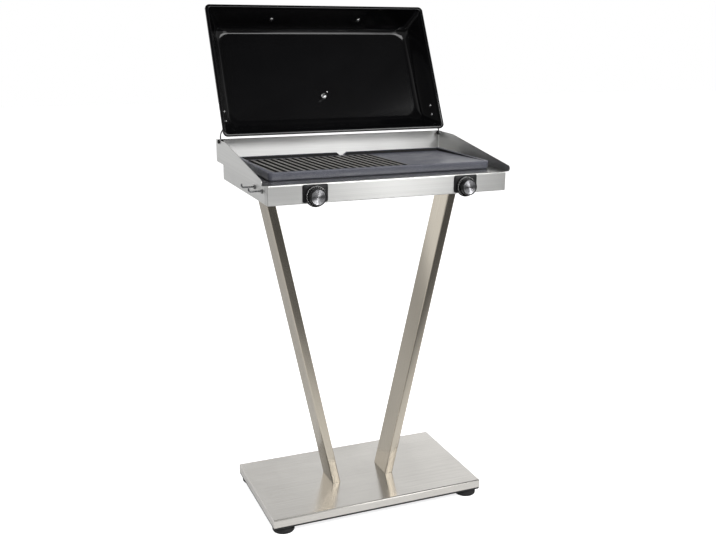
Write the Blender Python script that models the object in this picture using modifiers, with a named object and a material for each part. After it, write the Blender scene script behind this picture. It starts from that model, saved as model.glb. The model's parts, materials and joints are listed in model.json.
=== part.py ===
"""Electric patio grill on a V-shaped stand, with its lid open.

Metres, +Z up. The cook stands at -Y and +X is to the cook's right. Heights count from the floor,
and X and Y from the middle of the casing until move_origin() centres the whole object.
"""

import math

import bmesh
import bpy
from mathutils import Matrix, Vector

# Gaps and fits
SEAT_GAP = 0.0003
RUNNING_FIT = 0.00008
SIDE_PLAY = 0.0010

# Base
BASE_WIDTH = 0.576
BASE_DEPTH = 0.325
BASE_TOP = 0.042
BASE_SKIRT = 0.0210
BASE_SET_BACK = 0.004
BASE_SHEET = 0.0015
BASE_CORNER = 0.003
BASE_COVER_INSET = 0.0010
BASE_COVER_THICKNESS = 0.0050
STIFFENER_WIDTH = 0.420
STIFFENER_DEPTH = 0.220
STIFFENER_THICKNESS = 0.005
FOOT_RADIUS = 0.028
FOOT_TAPER = 0.003
FOOT_EDGE = 0.003
FOOT_INSET_X = 0.032
FOOT_INSET_Y = 0.0255

# Legs
LEG_WIDTH = 0.0225
LEG_DEPTH = 0.075
LEG_WALL = 0.0015
LEG_EDGE = 0.003
LEG_FRONT = -0.033
LEG_FOOT_X = 0.0755
LEG_HEAD_INSET = 0.052
LEG_HEAD_WIDTH = 0.070
LEG_HEAD_DEPTH = 0.100
LEG_HEAD_THICKNESS = 0.003

# Casing and control panel
CASING_DEPTH = 0.387
CASING_BOTTOM = 0.832
CASING_HEIGHT = 0.045
CASING_SHEET = 0.0012
CASING_FOLD = 0.0020
PANEL_RETURN = 0.020
PANEL_BUSH_HOLE = 0.0052

# Cooking tray and splash shields
TRAY_WIDTH = 0.624
TRAY_OVERHANG = 0.012
TRAY_BEHIND_PANEL = 0.0020
TRAY_BEYOND_CASING = 0.0165
TRAY_SHEET = 0.0010
WELL_SIDE_INSET = 0.031
WELL_END_INSET = 0.030
WELL_DEPTH = 0.0150
WELL_FLANGE = 0.008
WELL_CORNER = 0.012
SHIELD_SHEET = 0.0010
SHIELD_HEIGHT = 0.0577
SHIELD_FRONT_HEIGHT = 0.0140
SHIELD_FLAT_LENGTH = 0.110
SHIELD_NOSE = 0.0070
SHIELD_REAR_CORNER = 0.0060
BACK_SHIELD_INSET = 0.0235
BACK_SHIELD_HEM = 0.008
BACK_SHIELD_FOOT = 0.012

# Cast grill plate
PLATE_SIDE_GAP = 0.031
PLATE_FRONT_GAP = 0.0455
PLATE_REAR_GAP = 0.0840
PLATE_HEIGHT = 0.0195
PLATE_CORNER = 0.010
PLATE_EDGE = 0.0022
PLATE_UNDER_EDGE = 0.0030
PLATE_RIM = 0.0085
PLATE_FRONT_LIP = 0.0005
PLATE_REAR_LIP = 0.0078
PLATE_WALL = 0.007
PLATE_THICKNESS = 0.0040
GROOVE_COUNT = 18
GROOVE_PITCH = 0.0187
GROOVE_WIDTH = 0.0095
GROOVE_BOTTOM_WIDTH = 0.0065
GROOVE_DEPTH = 0.0042
GROOVE_INSET = 0.0240
GROOVE_END_GAP = 0.004
NOTCH_X = -0.004
NOTCH_WIDTH = 0.0285
NOTCH_FOOT_WIDTH = 0.0095
NOTCH_DEPTH = 0.0084

# Heating elements
ELEMENT_RADIUS = 0.00325
ELEMENT_RUNS = 4
ELEMENT_RUN_PITCH = 0.048
ELEMENT_INNER_X = 0.028
ELEMENT_WELL_GAP = 0.024
ELEMENT_BELOW_FLOOR = 0.0010
ELEMENT_TAIL = 0.020

# Grease drawer at the rear
DRAWER_WIDTH = 0.140
DRAWER_LENGTH = 0.092
DRAWER_HEIGHT = 0.0180
DRAWER_SHEET = 0.0010
DRAWER_DRAFT = 0.004
DRAWER_CORNER = 0.010
DRAWER_LIP = 0.0060
DRAWER_PULL_WIDTH = 0.060
DRAWER_PULL_LENGTH = 0.014
GREASE_HOLE_RADIUS = 0.0080
GREASE_HOLE_BEHIND_PLATE = 0.018
RUNNER_WIDTH = 0.006

# Thermostats, bezels and knobs
KNOB_INSET = 0.111
KNOB_ABOVE_CASING_BOTTOM = 0.0175
BEZEL_WIDTH = 0.060
BEZEL_BOTTOM_MARGIN = 0.0030
BEZEL_TOP_MARGIN = 0.0010
BEZEL_THICKNESS = 0.0016
BEZEL_CORNER = 0.004
SHAFT_RADIUS = 0.0030
BUSH_RADIUS = 0.0048
THERMOSTAT_SIZE = 0.032
THERMOSTAT_LENGTH = 0.028
KNOB_SKIRT_RADIUS = 0.0250
KNOB_SKIRT_LENGTH = 0.0060
KNOB_HUB_RADIUS = 0.0180
KNOB_HUB_LENGTH = 0.0150
KNOB_CAP_RADIUS = 0.0195
KNOB_CAP_LENGTH = 0.0150
KNOB_CAP_WALL = 0.0010
KNOB_CAP_DISH = 0.0012
KNOB_STEPS = 40

# Lid, in its own directions: x across, d deep from the rim, h up from the rim's lower edge
LID_SIDE_GAP = 0.00375
LID_HEIGHT = 0.3555
LID_DEPTH = 0.072
LID_SHEET = 0.0012
LID_LEAN = math.radians(26.6)
LID_RIM = 0.0080
LID_RIM_ROLL = 0.0060
LID_RIM_EDGE = 0.0020
LID_RIM_CORNER = 0.0120
LID_FLOOR_CORNER = 0.0450
LID_RUN_FRONT = 0.047
LID_RUN_SIDE = 0.042
LID_RUN_REAR = 0.067
LID_WALL_SHARE = 0.62
LID_FILLET_START = 0.55
LID_FILLET_STEPS = 7
LID_CORNER_STEPS = 8
HINGE_BEHIND_RIM = 0.0371
HINGE_BELOW_RIM = 0.0008
HINGE_BELOW_SHIELD_TOP = 0.0045
HINGE_BEFORE_BACK_SHIELD = 0.0082

# Hinge wires and pins
WIRE_RADIUS = 0.0020
WIRE_EYE_RADIUS = 0.0044
PIN_RADIUS = 0.0020
PIN_HEAD_RADIUS = 0.0052
PIN_HEAD_LENGTH = 0.0040
PIN_WASHER_RADIUS = 0.0050
WIRE_CLAMP_LENGTH = 0.036
WIRE_CLAMP_WIDTH = 0.018
WIRE_CLAMP_THICKNESS = 0.0020
WIRE_DEPTH = 0.026
WIRE_RISE = 0.036
WIRE_END = 0.080

# Handle
HANDLE_X = 0.124
HANDLE_DEPTH = 0.036
HANDLE_RADIUS = 0.0065
HANDLE_STANDOFF = 0.032
HANDLE_BEND = 0.014
HANDLE_FOOT_RADIUS = 0.0110
HANDLE_FOOT_THICKNESS = 0.0040

# Thermometer
GAUGE_H = 0.127
GAUGE_RADIUS = 0.0270
GAUGE_LENGTH = 0.0110
GAUGE_WALL = 0.0015
GAUGE_GLASS_THICKNESS = 0.0015
GAUGE_BOSS_RADIUS = 0.0090
GAUGE_STEM_RADIUS = 0.0040
GAUGE_PROBE_RADIUS = 0.0022
GAUGE_PROBE_LENGTH = 0.030
GAUGE_NUT_RADIUS = 0.0078
GAUGE_NUT_THICKNESS = 0.0045
GAUGE_NUT_SIDES = 6

# Utensil hooks on the left side
HOOK_WIRE_RADIUS = 0.0020
HOOK_FIRST = 0.0415
HOOK_SPACING = 0.058
HOOK_BELOW_CASING_TOP = 0.0170
HOOK_REACH = 0.030
HOOK_TIP = 0.0090
HOOK_BEND = 0.004
HOOK_PLATE = 0.0100
HOOK_PLATE_THICKNESS = 0.0020

# Mains inlet
GLAND_INSET = 0.090
GLAND_RADIUS = 0.0090
GLAND_LENGTH = 0.018
GLAND_BORE = 0.0040
TERMINAL_WIDTH = 0.050
TERMINAL_DEPTH = 0.022
TERMINAL_HEIGHT = 0.018

# Places that follow from the sizes above
CASING_TOP = CASING_BOTTOM + CASING_HEIGHT
CASING_FRONT = -CASING_DEPTH / 2
CASING_REAR = CASING_DEPTH / 2
CASING_SIDE = TRAY_WIDTH / 2 - TRAY_OVERHANG
LEG_HEAD_X = CASING_SIDE - LEG_HEAD_INSET
TRAY_FRONT = CASING_FRONT + TRAY_BEHIND_PANEL
TRAY_REAR = CASING_REAR + TRAY_BEYOND_CASING
FLOOR_BOTTOM = CASING_TOP + SEAT_GAP
FLOOR_TOP = FLOOR_BOTTOM + TRAY_SHEET
PLATE_SIDE = TRAY_WIDTH / 2 - PLATE_SIDE_GAP
PLATE_FRONT = TRAY_FRONT + PLATE_FRONT_GAP
PLATE_REAR = TRAY_REAR - PLATE_REAR_GAP
PLATE_BOTTOM = FLOOR_TOP + SEAT_GAP
PLATE_TOP = PLATE_BOTTOM + PLATE_HEIGHT
SURFACE_FRONT = PLATE_FRONT + PLATE_RIM
SURFACE_LENGTH = PLATE_REAR - PLATE_RIM - SURFACE_FRONT
SURFACE_FALL = math.atan2(PLATE_REAR_LIP - PLATE_FRONT_LIP, SURFACE_LENGTH)
WELL_SIDE = PLATE_SIDE - WELL_SIDE_INSET
WELL_FRONT = PLATE_FRONT + WELL_END_INSET
WELL_REAR = PLATE_REAR - WELL_END_INSET
ELEMENT_OUTER_X = WELL_SIDE - ELEMENT_WELL_GAP
SHIELD_OUTSIDE = TRAY_WIDTH / 2
SHIELD_INSIDE = SHIELD_OUTSIDE - SHIELD_SHEET
SHIELD_TOP = FLOOR_BOTTOM + SHIELD_HEIGHT
BACK_SHIELD_Y = TRAY_REAR - BACK_SHIELD_INSET
HINGE_Y = BACK_SHIELD_Y - HINGE_BEFORE_BACK_SHIELD
HINGE_Z = SHIELD_TOP - HINGE_BELOW_SHIELD_TOP
LID_SIDE = SHIELD_INSIDE - LID_SIDE_GAP
WASHER_THICKNESS = 0.0012
WIRE_X = SHIELD_INSIDE - SEAT_GAP - WASHER_THICKNESS - SEAT_GAP - WIRE_RADIUS
KNOB_X = CASING_SIDE - KNOB_INSET
KNOB_Z = CASING_BOTTOM + KNOB_ABOVE_CASING_BOTTOM
BEZEL_FRONT = CASING_FRONT - SEAT_GAP - BEZEL_THICKNESS
DRAWER_X = NOTCH_X
DRAWER_BOTTOM = CASING_BOTTOM + CASING_SHEET + SEAT_GAP
GLAND_X = CASING_SIDE - GLAND_INSET

PARTS = "electric_grill"
CUTTERS = "cutters"


def clear_scene():
    """Removes every object, then makes one collection for the parts and one for the cutters."""
    for old in list(bpy.data.objects):
        bpy.data.objects.remove(old, do_unlink=True)
    for name in (PARTS, CUTTERS):
        collection = bpy.data.collections.new(name)
        bpy.context.scene.collection.children.link(collection)


def finish(name, colour, roughness, metallic):
    """A Principled material of one linear colour."""
    made = bpy.data.materials.new(name)
    made.use_nodes = True
    shader = made.node_tree.nodes["Principled BSDF"]
    shader.inputs["Base Color"].default_value = (*colour, 1.0)
    shader.inputs["Roughness"].default_value = roughness
    shader.inputs["Metallic"].default_value = metallic
    made.diffuse_color = (*colour, 1.0)
    return made


def finishes():
    """The object's finishes, by the name of what each one is."""
    return {
        "brushed_stainless": finish("brushed_stainless", (0.60, 0.60, 0.59), 0.35, 1.0),
        "black_enamel": finish("black_enamel", (0.006, 0.006, 0.008), 0.08, 0.0),
        "cast_plate": finish("cast_plate", (0.060, 0.062, 0.078), 0.45, 0.2),
        "black_plastic": finish("black_plastic", (0.012, 0.012, 0.013), 0.35, 0.0),
        "black_rubber": finish("black_rubber", (0.015, 0.015, 0.015), 0.75, 0.0),
        "spun_aluminium": finish("spun_aluminium", (0.70, 0.70, 0.70), 0.25, 1.0),
        "plated_steel": finish("plated_steel", (0.55, 0.55, 0.56), 0.25, 1.0),
        "galvanised_steel": finish("galvanised_steel", (0.42, 0.43, 0.44), 0.50, 1.0),
        "black_steel": finish("black_steel", (0.020, 0.020, 0.021), 0.50, 0.0),
        "clear_glass": finish("clear_glass", (0.80, 0.85, 0.85), 0.05, 0.0),
    }


def link(obj, material=None, parent=None, collection=PARTS):
    """Puts an object in its collection, under its parent, with its material."""
    bpy.data.collections[collection].objects.link(obj)
    obj.parent = parent
    if material is not None:
        obj.data.materials.append(material)
    return obj


def empty(name, parent=None, place=(0.0, 0.0, 0.0), turn=(0.0, 0.0, 0.0)):
    """An axis or a frame that parts hang on."""
    made = bpy.data.objects.new(name, None)
    made.empty_display_size = 0.05
    made.location = place
    made.rotation_euler = turn
    return link(made, parent=parent)


def mesh_object(name, shape, material, parent, collection=PARTS):
    """Turns a bmesh into a linked object with smooth round sides and sharp edges."""
    data = bpy.data.meshes.new(name)
    shape.to_mesh(data)
    shape.free()
    data.shade_smooth()
    data.set_sharp_from_angle(angle=math.radians(35))
    made = link(bpy.data.objects.new(name, data), material, parent, collection)
    if collection == CUTTERS:
        made.hide_render = True
        made.display_type = "WIRE"
    return made


def round_edges(obj, width, segments=2, angle=math.radians(40)):
    """A bevel on the sharp edges of an object."""
    bevel = obj.modifiers.new("rounded_edges", "BEVEL")
    bevel.width = width
    bevel.segments = segments
    bevel.limit_method = "ANGLE"
    bevel.angle_limit = angle
    return bevel


def thicken(obj, wall):
    """Gives an open surface its wall, away from the side that its faces look to."""
    shell = obj.modifiers.new("sheet", "SOLIDIFY")
    shell.thickness = wall
    shell.offset = -1
    shell.use_even_offset = True
    return shell


def cut(obj, cutter):
    """Takes a cutter's shape out of an object."""
    boolean = obj.modifiers.new("cut_" + cutter.name, "BOOLEAN")
    boolean.operation = "DIFFERENCE"
    boolean.solver = "EXACT"
    boolean.object = cutter
    return boolean


def box_shape(low, high):
    """A bmesh box between two corners."""
    shape = bmesh.new()
    bmesh.ops.create_cube(shape, size=1.0)
    low = Vector(low)
    high = Vector(high)
    bmesh.ops.scale(shape, vec=high - low, verts=shape.verts)
    bmesh.ops.translate(shape, vec=(low + high) / 2, verts=shape.verts)
    return shape


def block(name, low, high, material, parent, edge=0.0, collection=PARTS):
    """A solid box, with its edges rounded when edge is given."""
    made = mesh_object(name, box_shape(low, high), material, parent, collection)
    if edge > 0:
        round_edges(made, edge)
    return made


def folded_box(name, low, high, open_sides, wall, fold, material, parent):
    """A sheet-metal box. open_sides holds the outward directions that have no wall."""
    shape = box_shape(low, high)
    shape.normal_update()
    gone = [face for face in shape.faces if any(face.normal.dot(Vector(side)) > 0.9 for side in open_sides)]
    bmesh.ops.delete(shape, geom=gone, context="FACES")
    made = mesh_object(name, shape, material, parent)
    round_edges(made, fold)
    thicken(made, wall)
    return made


def arc(centre, radius, start, end, steps):
    """Points on an arc in a plane, with both ends."""
    points = []
    for step in range(steps + 1):
        angle = start + (end - start) * step / steps
        points.append((centre[0] + radius * math.cos(angle), centre[1] + radius * math.sin(angle)))
    return points


def rounded_rectangle(low, high, radius, steps=6):
    """The outline of a rectangle with round corners, anticlockwise from the lower right."""
    corners = (
        (high[0] - radius, low[1] + radius, -math.pi / 2),
        (high[0] - radius, high[1] - radius, 0.0),
        (low[0] + radius, high[1] - radius, math.pi / 2),
        (low[0] + radius, low[1] + radius, math.pi),
    )
    points = []
    for x, y, start in corners:
        points += arc((x, y), radius, start, start + math.pi / 2, steps)
    return points


def outline_curve(name, outlines, thickness, material, parent, place, turn=(0.0, 0.0, 0.0)):
    """A flat 2D curve of one outline and its holes, extruded to a plate centred on place."""
    data = bpy.data.curves.new(name, "CURVE")
    data.dimensions = "2D"
    data.fill_mode = "BOTH"
    data.extrude = thickness / 2
    for outline in outlines:
        spline = data.splines.new("POLY")
        spline.points.add(len(outline) - 1)
        for point, (x, y) in zip(spline.points, outline):
            point.co = (x, y, 0.0, 1.0)
        spline.use_cyclic_u = True
    made = link(bpy.data.objects.new(name, data), material, parent)
    made.location = place
    made.rotation_euler = turn
    return made


def circle(centre, radius, steps=24):
    """A closed round outline."""
    return arc(centre, radius, 0.0, 2 * math.pi * (steps - 1) / steps, steps - 1)


def as_mesh(curve_object):
    """Replaces a curve object by its welded mesh, so that it can be cut or sheared."""
    bpy.context.view_layer.update()
    graph = bpy.context.evaluated_depsgraph_get()
    data = bpy.data.meshes.new_from_object(curve_object.evaluated_get(graph))
    shape = bmesh.new()
    shape.from_mesh(data)
    bmesh.ops.remove_doubles(shape, verts=shape.verts, dist=1e-6)
    bmesh.ops.recalc_face_normals(shape, faces=shape.faces)
    shape.to_mesh(data)
    shape.free()
    name = curve_object.name
    parent = curve_object.parent
    place = curve_object.location.copy()
    turn = curve_object.rotation_euler.copy()
    bpy.data.objects.remove(curve_object, do_unlink=True)
    made = link(bpy.data.objects.new(name, data), None, parent)
    made.location = place
    made.rotation_euler = turn
    return made


def wire(name, points, radius, material, parent, closed=False, resolution=2):
    """A round wire or tube along a list of points."""
    data = bpy.data.curves.new(name, "CURVE")
    data.dimensions = "3D"
    data.fill_mode = "FULL"
    data.bevel_depth = radius
    data.bevel_resolution = resolution
    data.use_fill_caps = not closed
    spline = data.splines.new("POLY")
    spline.points.add(len(points) - 1)
    for point, place in zip(spline.points, points):
        point.co = (*place, 1.0)
    spline.use_cyclic_u = closed
    return link(bpy.data.objects.new(name, data), material, parent)


def rounded_path(corners, radius, steps=5):
    """A path through corner points, each inner corner replaced by a round bend."""
    corners = [Vector(corner) for corner in corners]
    path = [corners[0]]
    for before, corner, after in zip(corners, corners[1:], corners[2:]):
        into = (corner - before).normalized()
        out = (after - corner).normalized()
        turn = into.angle(out)
        reach = radius * math.tan(turn / 2)
        start = corner - into * reach
        side = (out - into * into.dot(out)).normalized()
        centre = start + side * radius
        for step in range(steps + 1):
            angle = turn * step / steps
            path.append(centre - side * radius * math.cos(angle) + into * radius * math.sin(angle))
    path.append(corners[-1])
    return path


def turned(name, profile, material, parent, place=(0.0, 0.0, 0.0), turn=(0.0, 0.0, 0.0), steps=32,
           closed=False, collection=PARTS):
    """A turned piece. The profile lists (radius, height) down the outside, and a ring's comes back up its bore."""
    data = bpy.data.meshes.new(name)
    points = [(radius, 0.0, height) for radius, height in profile]
    edges = [(index, index + 1) for index in range(len(points) - 1)]
    if closed:
        edges.append((len(points) - 1, 0))
    data.from_pydata(points, edges, [])
    made = link(bpy.data.objects.new(name, data), material, parent, collection)
    made.location = place
    made.rotation_euler = turn
    screw = made.modifiers.new("turned", "SCREW")
    screw.axis = "Z"
    screw.steps = steps
    screw.render_steps = steps
    screw.use_merge_vertices = True
    screw.merge_threshold = 0.00005
    if collection == CUTTERS:
        made.hide_render = True
        made.display_type = "WIRE"
    return made


def drill(name, radius, length, parent, place, turn=(0.0, 0.0, 0.0), steps=24):
    """A round cutter centred on place, along the local Z."""
    profile = [(0.0, length / 2), (radius, length / 2), (radius, -length / 2), (0.0, -length / 2)]
    return turned(name, profile, None, parent, place, turn, steps, collection=CUTTERS)


def loft(rings, steps):
    """A bmesh through level rounded rectangles and its loops, closed at the last one.

    Each ring is (low corner, high corner, corner radius, height).
    """
    shape = bmesh.new()
    loops = []
    for low, high, radius, height in rings:
        outline = rounded_rectangle(low, high, radius, steps)
        loops.append([shape.verts.new((x, y, height)) for x, y in outline])
    for outer, inner in zip(loops, loops[1:]):
        count = len(outer)
        for index in range(count):
            after = (index + 1) % count
            shape.faces.new((outer[index], outer[after], inner[after], inner[index]))
    shape.faces.new(loops[-1])
    return shape, loops


def pressed_pan(name, rings, wall, material, parent, steps=LID_CORNER_STEPS, turn=0.0):
    """A pressed sheet pan from its rim's outer edge to its floor, open towards +Z before it is turned about X."""
    shape, _ = loft(rings, steps)
    shape.transform(Matrix.Rotation(turn, 4, "X"))
    made = mesh_object(name, shape, material, parent)
    thicken(made, wall)
    return made


TOWARDS_FRONT = (math.pi / 2, 0.0, 0.0)
TOWARDS_REAR = (-math.pi / 2, 0.0, 0.0)
SIDES = (("left", -1), ("right", 1))


def towards(side):
    """The turn that points a turned piece's axis to the left (-1) or to the right (1)."""
    return (0.0, side * math.pi / 2, 0.0)


def make_base(look, root):
    """The folded base tray with its stiffener, its cover and four round feet."""
    low_x = -BASE_WIDTH / 2
    low_y = BASE_SET_BACK - BASE_DEPTH / 2
    high_y = BASE_SET_BACK + BASE_DEPTH / 2
    skirt_bottom = BASE_TOP - BASE_SKIRT
    folded_box(
        "base_tray", (low_x, low_y, skirt_bottom), (-low_x, high_y, BASE_TOP), [(0, 0, -1)],
        BASE_SHEET, BASE_CORNER, look["brushed_stainless"], root,
    )
    under_sheet = BASE_TOP - BASE_SHEET - SEAT_GAP
    block(
        "base_stiffener",
        (-STIFFENER_WIDTH / 2, BASE_SET_BACK - STIFFENER_DEPTH / 2, under_sheet - STIFFENER_THICKNESS),
        (STIFFENER_WIDTH / 2, BASE_SET_BACK + STIFFENER_DEPTH / 2, under_sheet),
        look["galvanised_steel"], root,
    )
    cover_top = skirt_bottom - SEAT_GAP
    cover_bottom = cover_top - BASE_COVER_THICKNESS
    outline = rounded_rectangle(
        (low_x + BASE_COVER_INSET, low_y + BASE_COVER_INSET),
        (-low_x - BASE_COVER_INSET, high_y - BASE_COVER_INSET), BASE_CORNER,
    )
    outline_curve(
        "base_cover", [outline], BASE_COVER_THICKNESS, look["black_steel"], root,
        (0.0, 0.0, (cover_top + cover_bottom) / 2),
    )
    foot_top = cover_bottom - SEAT_GAP
    profile = [
        (0.0, foot_top),
        (FOOT_RADIUS - FOOT_TAPER, foot_top),
        (FOOT_RADIUS, foot_top - FOOT_EDGE),
        (FOOT_RADIUS, FOOT_EDGE),
        (FOOT_RADIUS - FOOT_EDGE, 0.0),
        (0.0, 0.0),
    ]
    for row, y in (("front", low_y + FOOT_INSET_Y), ("rear", high_y - FOOT_INSET_Y)):
        for side, sign in SIDES:
            place = (sign * (BASE_WIDTH / 2 - FOOT_INSET_X), y, 0.0)
            turned(f"foot_{row}_{side}", profile, look["black_rubber"], root, place)


def make_legs(look, root):
    """Two leaning rectangular tubes with level ends, each under a head plate bolted to the casing."""
    head_top = CASING_BOTTOM - SEAT_GAP
    leg_top = head_top - LEG_HEAD_THICKNESS - SEAT_GAP
    leg_bottom = BASE_TOP + SEAT_GAP
    length = leg_top - leg_bottom
    middle_y = LEG_FRONT + LEG_DEPTH / 2
    half = Vector((LEG_WIDTH / 2, LEG_DEPTH / 2))
    inner = half - Vector((LEG_WALL, LEG_WALL))
    outlines = [
        rounded_rectangle(-half, half, LEG_EDGE, 3),
        rounded_rectangle(-inner, inner, LEG_EDGE - LEG_WALL, 3),
    ]
    for side, sign in SIDES:
        place = (sign * (LEG_FOOT_X + LEG_HEAD_X) / 2, middle_y, (leg_bottom + leg_top) / 2)
        leg = as_mesh(outline_curve(f"leg_{side}", outlines, length, None, root, place))
        lean = Matrix.Identity(4)
        lean[0][2] = sign * (LEG_HEAD_X - LEG_FOOT_X) / length
        leg.data.transform(lean)
        leg.data.materials.append(look["brushed_stainless"])
        head_x = sign * LEG_HEAD_X
        block(
            f"leg_head_{side}",
            (head_x - LEG_HEAD_WIDTH / 2, middle_y - LEG_HEAD_DEPTH / 2, head_top - LEG_HEAD_THICKNESS),
            (head_x + LEG_HEAD_WIDTH / 2, middle_y + LEG_HEAD_DEPTH / 2, head_top),
            look["galvanised_steel"], root,
        )


def make_casing(look, root):
    """The casing, open at the front and top, and the control panel that closes its front."""
    panel_rear = CASING_FRONT + PANEL_RETURN
    panel = folded_box(
        "control_panel", (-CASING_SIDE, CASING_FRONT, CASING_BOTTOM), (CASING_SIDE, panel_rear, CASING_TOP),
        [(0, 1, 0)], CASING_SHEET, CASING_FOLD, look["brushed_stainless"], root,
    )
    for side, sign in SIDES:
        place = (sign * KNOB_X, CASING_FRONT, KNOB_Z)
        cut(panel, drill(f"bush_hole_{side}", PANEL_BUSH_HOLE, PANEL_RETURN, root, place, TOWARDS_FRONT))
    casing = folded_box(
        "casing", (-CASING_SIDE, panel_rear + SEAT_GAP, CASING_BOTTOM), (CASING_SIDE, CASING_REAR, CASING_TOP),
        [(0, -1, 0), (0, 0, 1)], CASING_SHEET, CASING_FOLD, look["brushed_stainless"], root,
    )
    half_slot = DRAWER_WIDTH / 2 + SIDE_PLAY
    slot = block(
        "drawer_slot",
        (DRAWER_X - half_slot, CASING_REAR - 3 * CASING_SHEET, DRAWER_BOTTOM - SEAT_GAP / 2),
        (DRAWER_X + half_slot, CASING_REAR + CASING_SHEET, DRAWER_BOTTOM + DRAWER_HEIGHT + SIDE_PLAY),
        None, root, collection=CUTTERS,
    )
    cut(casing, slot)
    gland_place = (GLAND_X, CASING_REAR, (CASING_BOTTOM + CASING_TOP) / 2)
    cut(casing, drill("gland_hole", GLAND_BORE + 3 * SIDE_PLAY, PANEL_RETURN, root, gland_place, TOWARDS_FRONT))


def make_tray(look, root):
    """The cooking tray with its opening, and the heat well that hangs in it."""
    half = TRAY_WIDTH / 2 - SHIELD_SHEET - SEAT_GAP
    outer = rounded_rectangle((-half, TRAY_FRONT), (half, TRAY_REAR), BASE_CORNER, 2)
    opening = rounded_rectangle((-WELL_SIDE, WELL_FRONT), (WELL_SIDE, WELL_REAR), WELL_CORNER, 4)
    grease_hole = circle((NOTCH_X, PLATE_REAR + GREASE_HOLE_BEHIND_PLATE), GREASE_HOLE_RADIUS)
    middle = (FLOOR_BOTTOM + FLOOR_TOP) / 2
    outline_curve(
        "cooking_tray", [outer, opening, grease_hole], TRAY_SHEET, look["brushed_stainless"], root,
        (0.0, 0.0, middle),
    )
    flange_top = FLOOR_BOTTOM - SEAT_GAP
    inset = SIDE_PLAY
    low = Vector((-WELL_SIDE + inset, WELL_FRONT + inset))
    high = Vector((WELL_SIDE - inset, WELL_REAR - inset))
    out = Vector((WELL_FLANGE, WELL_FLANGE))
    rings = [
        (low - out, high + out, WELL_CORNER + WELL_FLANGE, flange_top),
        (low, high, WELL_CORNER, flange_top),
        (low, high, WELL_CORNER, flange_top - WELL_DEPTH),
    ]
    well = pressed_pan("heat_well", rings, TRAY_SHEET, look["galvanised_steel"], root, steps=4)
    return well


def shield_outline():
    """The side shield's outline in (y, z): flat at the rear, sloping to a rounded nose at the front."""
    front = TRAY_FRONT
    front_top = FLOOR_BOTTOM + SHIELD_FRONT_HEIGHT
    flat_end = TRAY_REAR - SHIELD_FLAT_LENGTH
    points = [(front + SHIELD_NOSE, FLOOR_BOTTOM), (TRAY_REAR, FLOOR_BOTTOM)]
    rear_corner = (TRAY_REAR - SHIELD_REAR_CORNER, SHIELD_TOP - SHIELD_REAR_CORNER)
    points += arc(rear_corner, SHIELD_REAR_CORNER, 0.0, math.pi / 2, 4)
    points += [(flat_end + SHIELD_FLAT_LENGTH / 3, SHIELD_TOP), (flat_end, SHIELD_TOP - SHIELD_SHEET)]
    slope = math.atan2(SHIELD_TOP - front_top, flat_end - front)
    nose = (front + SHIELD_NOSE, front_top - SHIELD_NOSE)
    points += arc(nose, SHIELD_NOSE, math.pi / 2 + slope, math.pi, 4)
    points += arc((front + SHIELD_NOSE, FLOOR_BOTTOM + SHIELD_NOSE), SHIELD_NOSE, math.pi, 3 * math.pi / 2, 4)[:-1]
    return points


def make_shields(look, root):
    """The two side shields and the back shield with its hem and foot."""
    for side, sign in SIDES:
        place = (sign * (SHIELD_OUTSIDE - SHIELD_SHEET / 2), 0.0, 0.0)
        shield = as_mesh(outline_curve(
            f"side_shield_{side}", [shield_outline()], SHIELD_SHEET, None, root, place,
            (math.pi / 2, 0.0, math.pi / 2),
        ))
        shield.data.materials.append(look["brushed_stainless"])
        pin_place = (sign * SHIELD_OUTSIDE, HINGE_Y, HINGE_Z)
        cut(shield, drill(f"pin_hole_{side}", PIN_RADIUS + SEAT_GAP, PANEL_RETURN, root, pin_place, towards(1)))
    half = SHIELD_INSIDE - SIDE_PLAY / 2
    foot = FLOOR_TOP + SEAT_GAP
    front = BACK_SHIELD_Y
    section = [
        (front, foot),
        (front + BACK_SHIELD_FOOT, foot),
        (front + BACK_SHIELD_FOOT, foot + SHIELD_SHEET),
        (front + SHIELD_SHEET, foot + SHIELD_SHEET),
        (front + SHIELD_SHEET, SHIELD_TOP - SHIELD_SHEET),
        (front + BACK_SHIELD_HEM, SHIELD_TOP - SHIELD_SHEET),
        (front + BACK_SHIELD_HEM, SHIELD_TOP),
        (front, SHIELD_TOP),
    ]
    outline_curve(
        "back_shield", [section], 2 * half, look["brushed_stainless"], root, (0.0, 0.0, 0.0),
        (math.pi / 2, 0.0, math.pi / 2),
    )


def onto_surface(shape):
    """Moves a shape from the cooking surface's own directions to its place, the surface falling to the rear.

    In its own directions x runs across, y rearwards from its front end, and z up from it.
    """
    start = Vector((0.0, SURFACE_FRONT, PLATE_TOP - PLATE_FRONT_LIP))
    shape.transform(Matrix.Translation(start) @ Matrix.Rotation(-SURFACE_FALL, 4, "X"))
    return shape


def groove_cutter(root):
    """Tapered bars that cut the grooves of the ribbed half."""
    shape = bmesh.new()
    front = GROOVE_END_GAP
    rear = SURFACE_LENGTH - GROOVE_END_GAP
    top = GROOVE_DEPTH / 2
    grow = GROOVE_WIDTH + (GROOVE_WIDTH - GROOVE_BOTTOM_WIDTH) * top / GROOVE_DEPTH
    run_out = (top + GROOVE_DEPTH) / 2
    for index in range(GROOVE_COUNT):
        middle = -PLATE_SIDE + GROOVE_INSET + index * GROOVE_PITCH
        made = bmesh.ops.create_cube(shape, size=1.0)["verts"]
        for vert in made:
            above = vert.co.z > 0
            width = grow if above else GROOVE_BOTTOM_WIDTH
            slope = 0.0 if above else run_out
            x = middle + math.copysign(width / 2, vert.co.x)
            y = front + slope if vert.co.y < 0 else rear - slope
            vert.co = (x, y, top if above else -GROOVE_DEPTH)
    return mesh_object("grooves", onto_surface(shape), None, root, CUTTERS)


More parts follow.
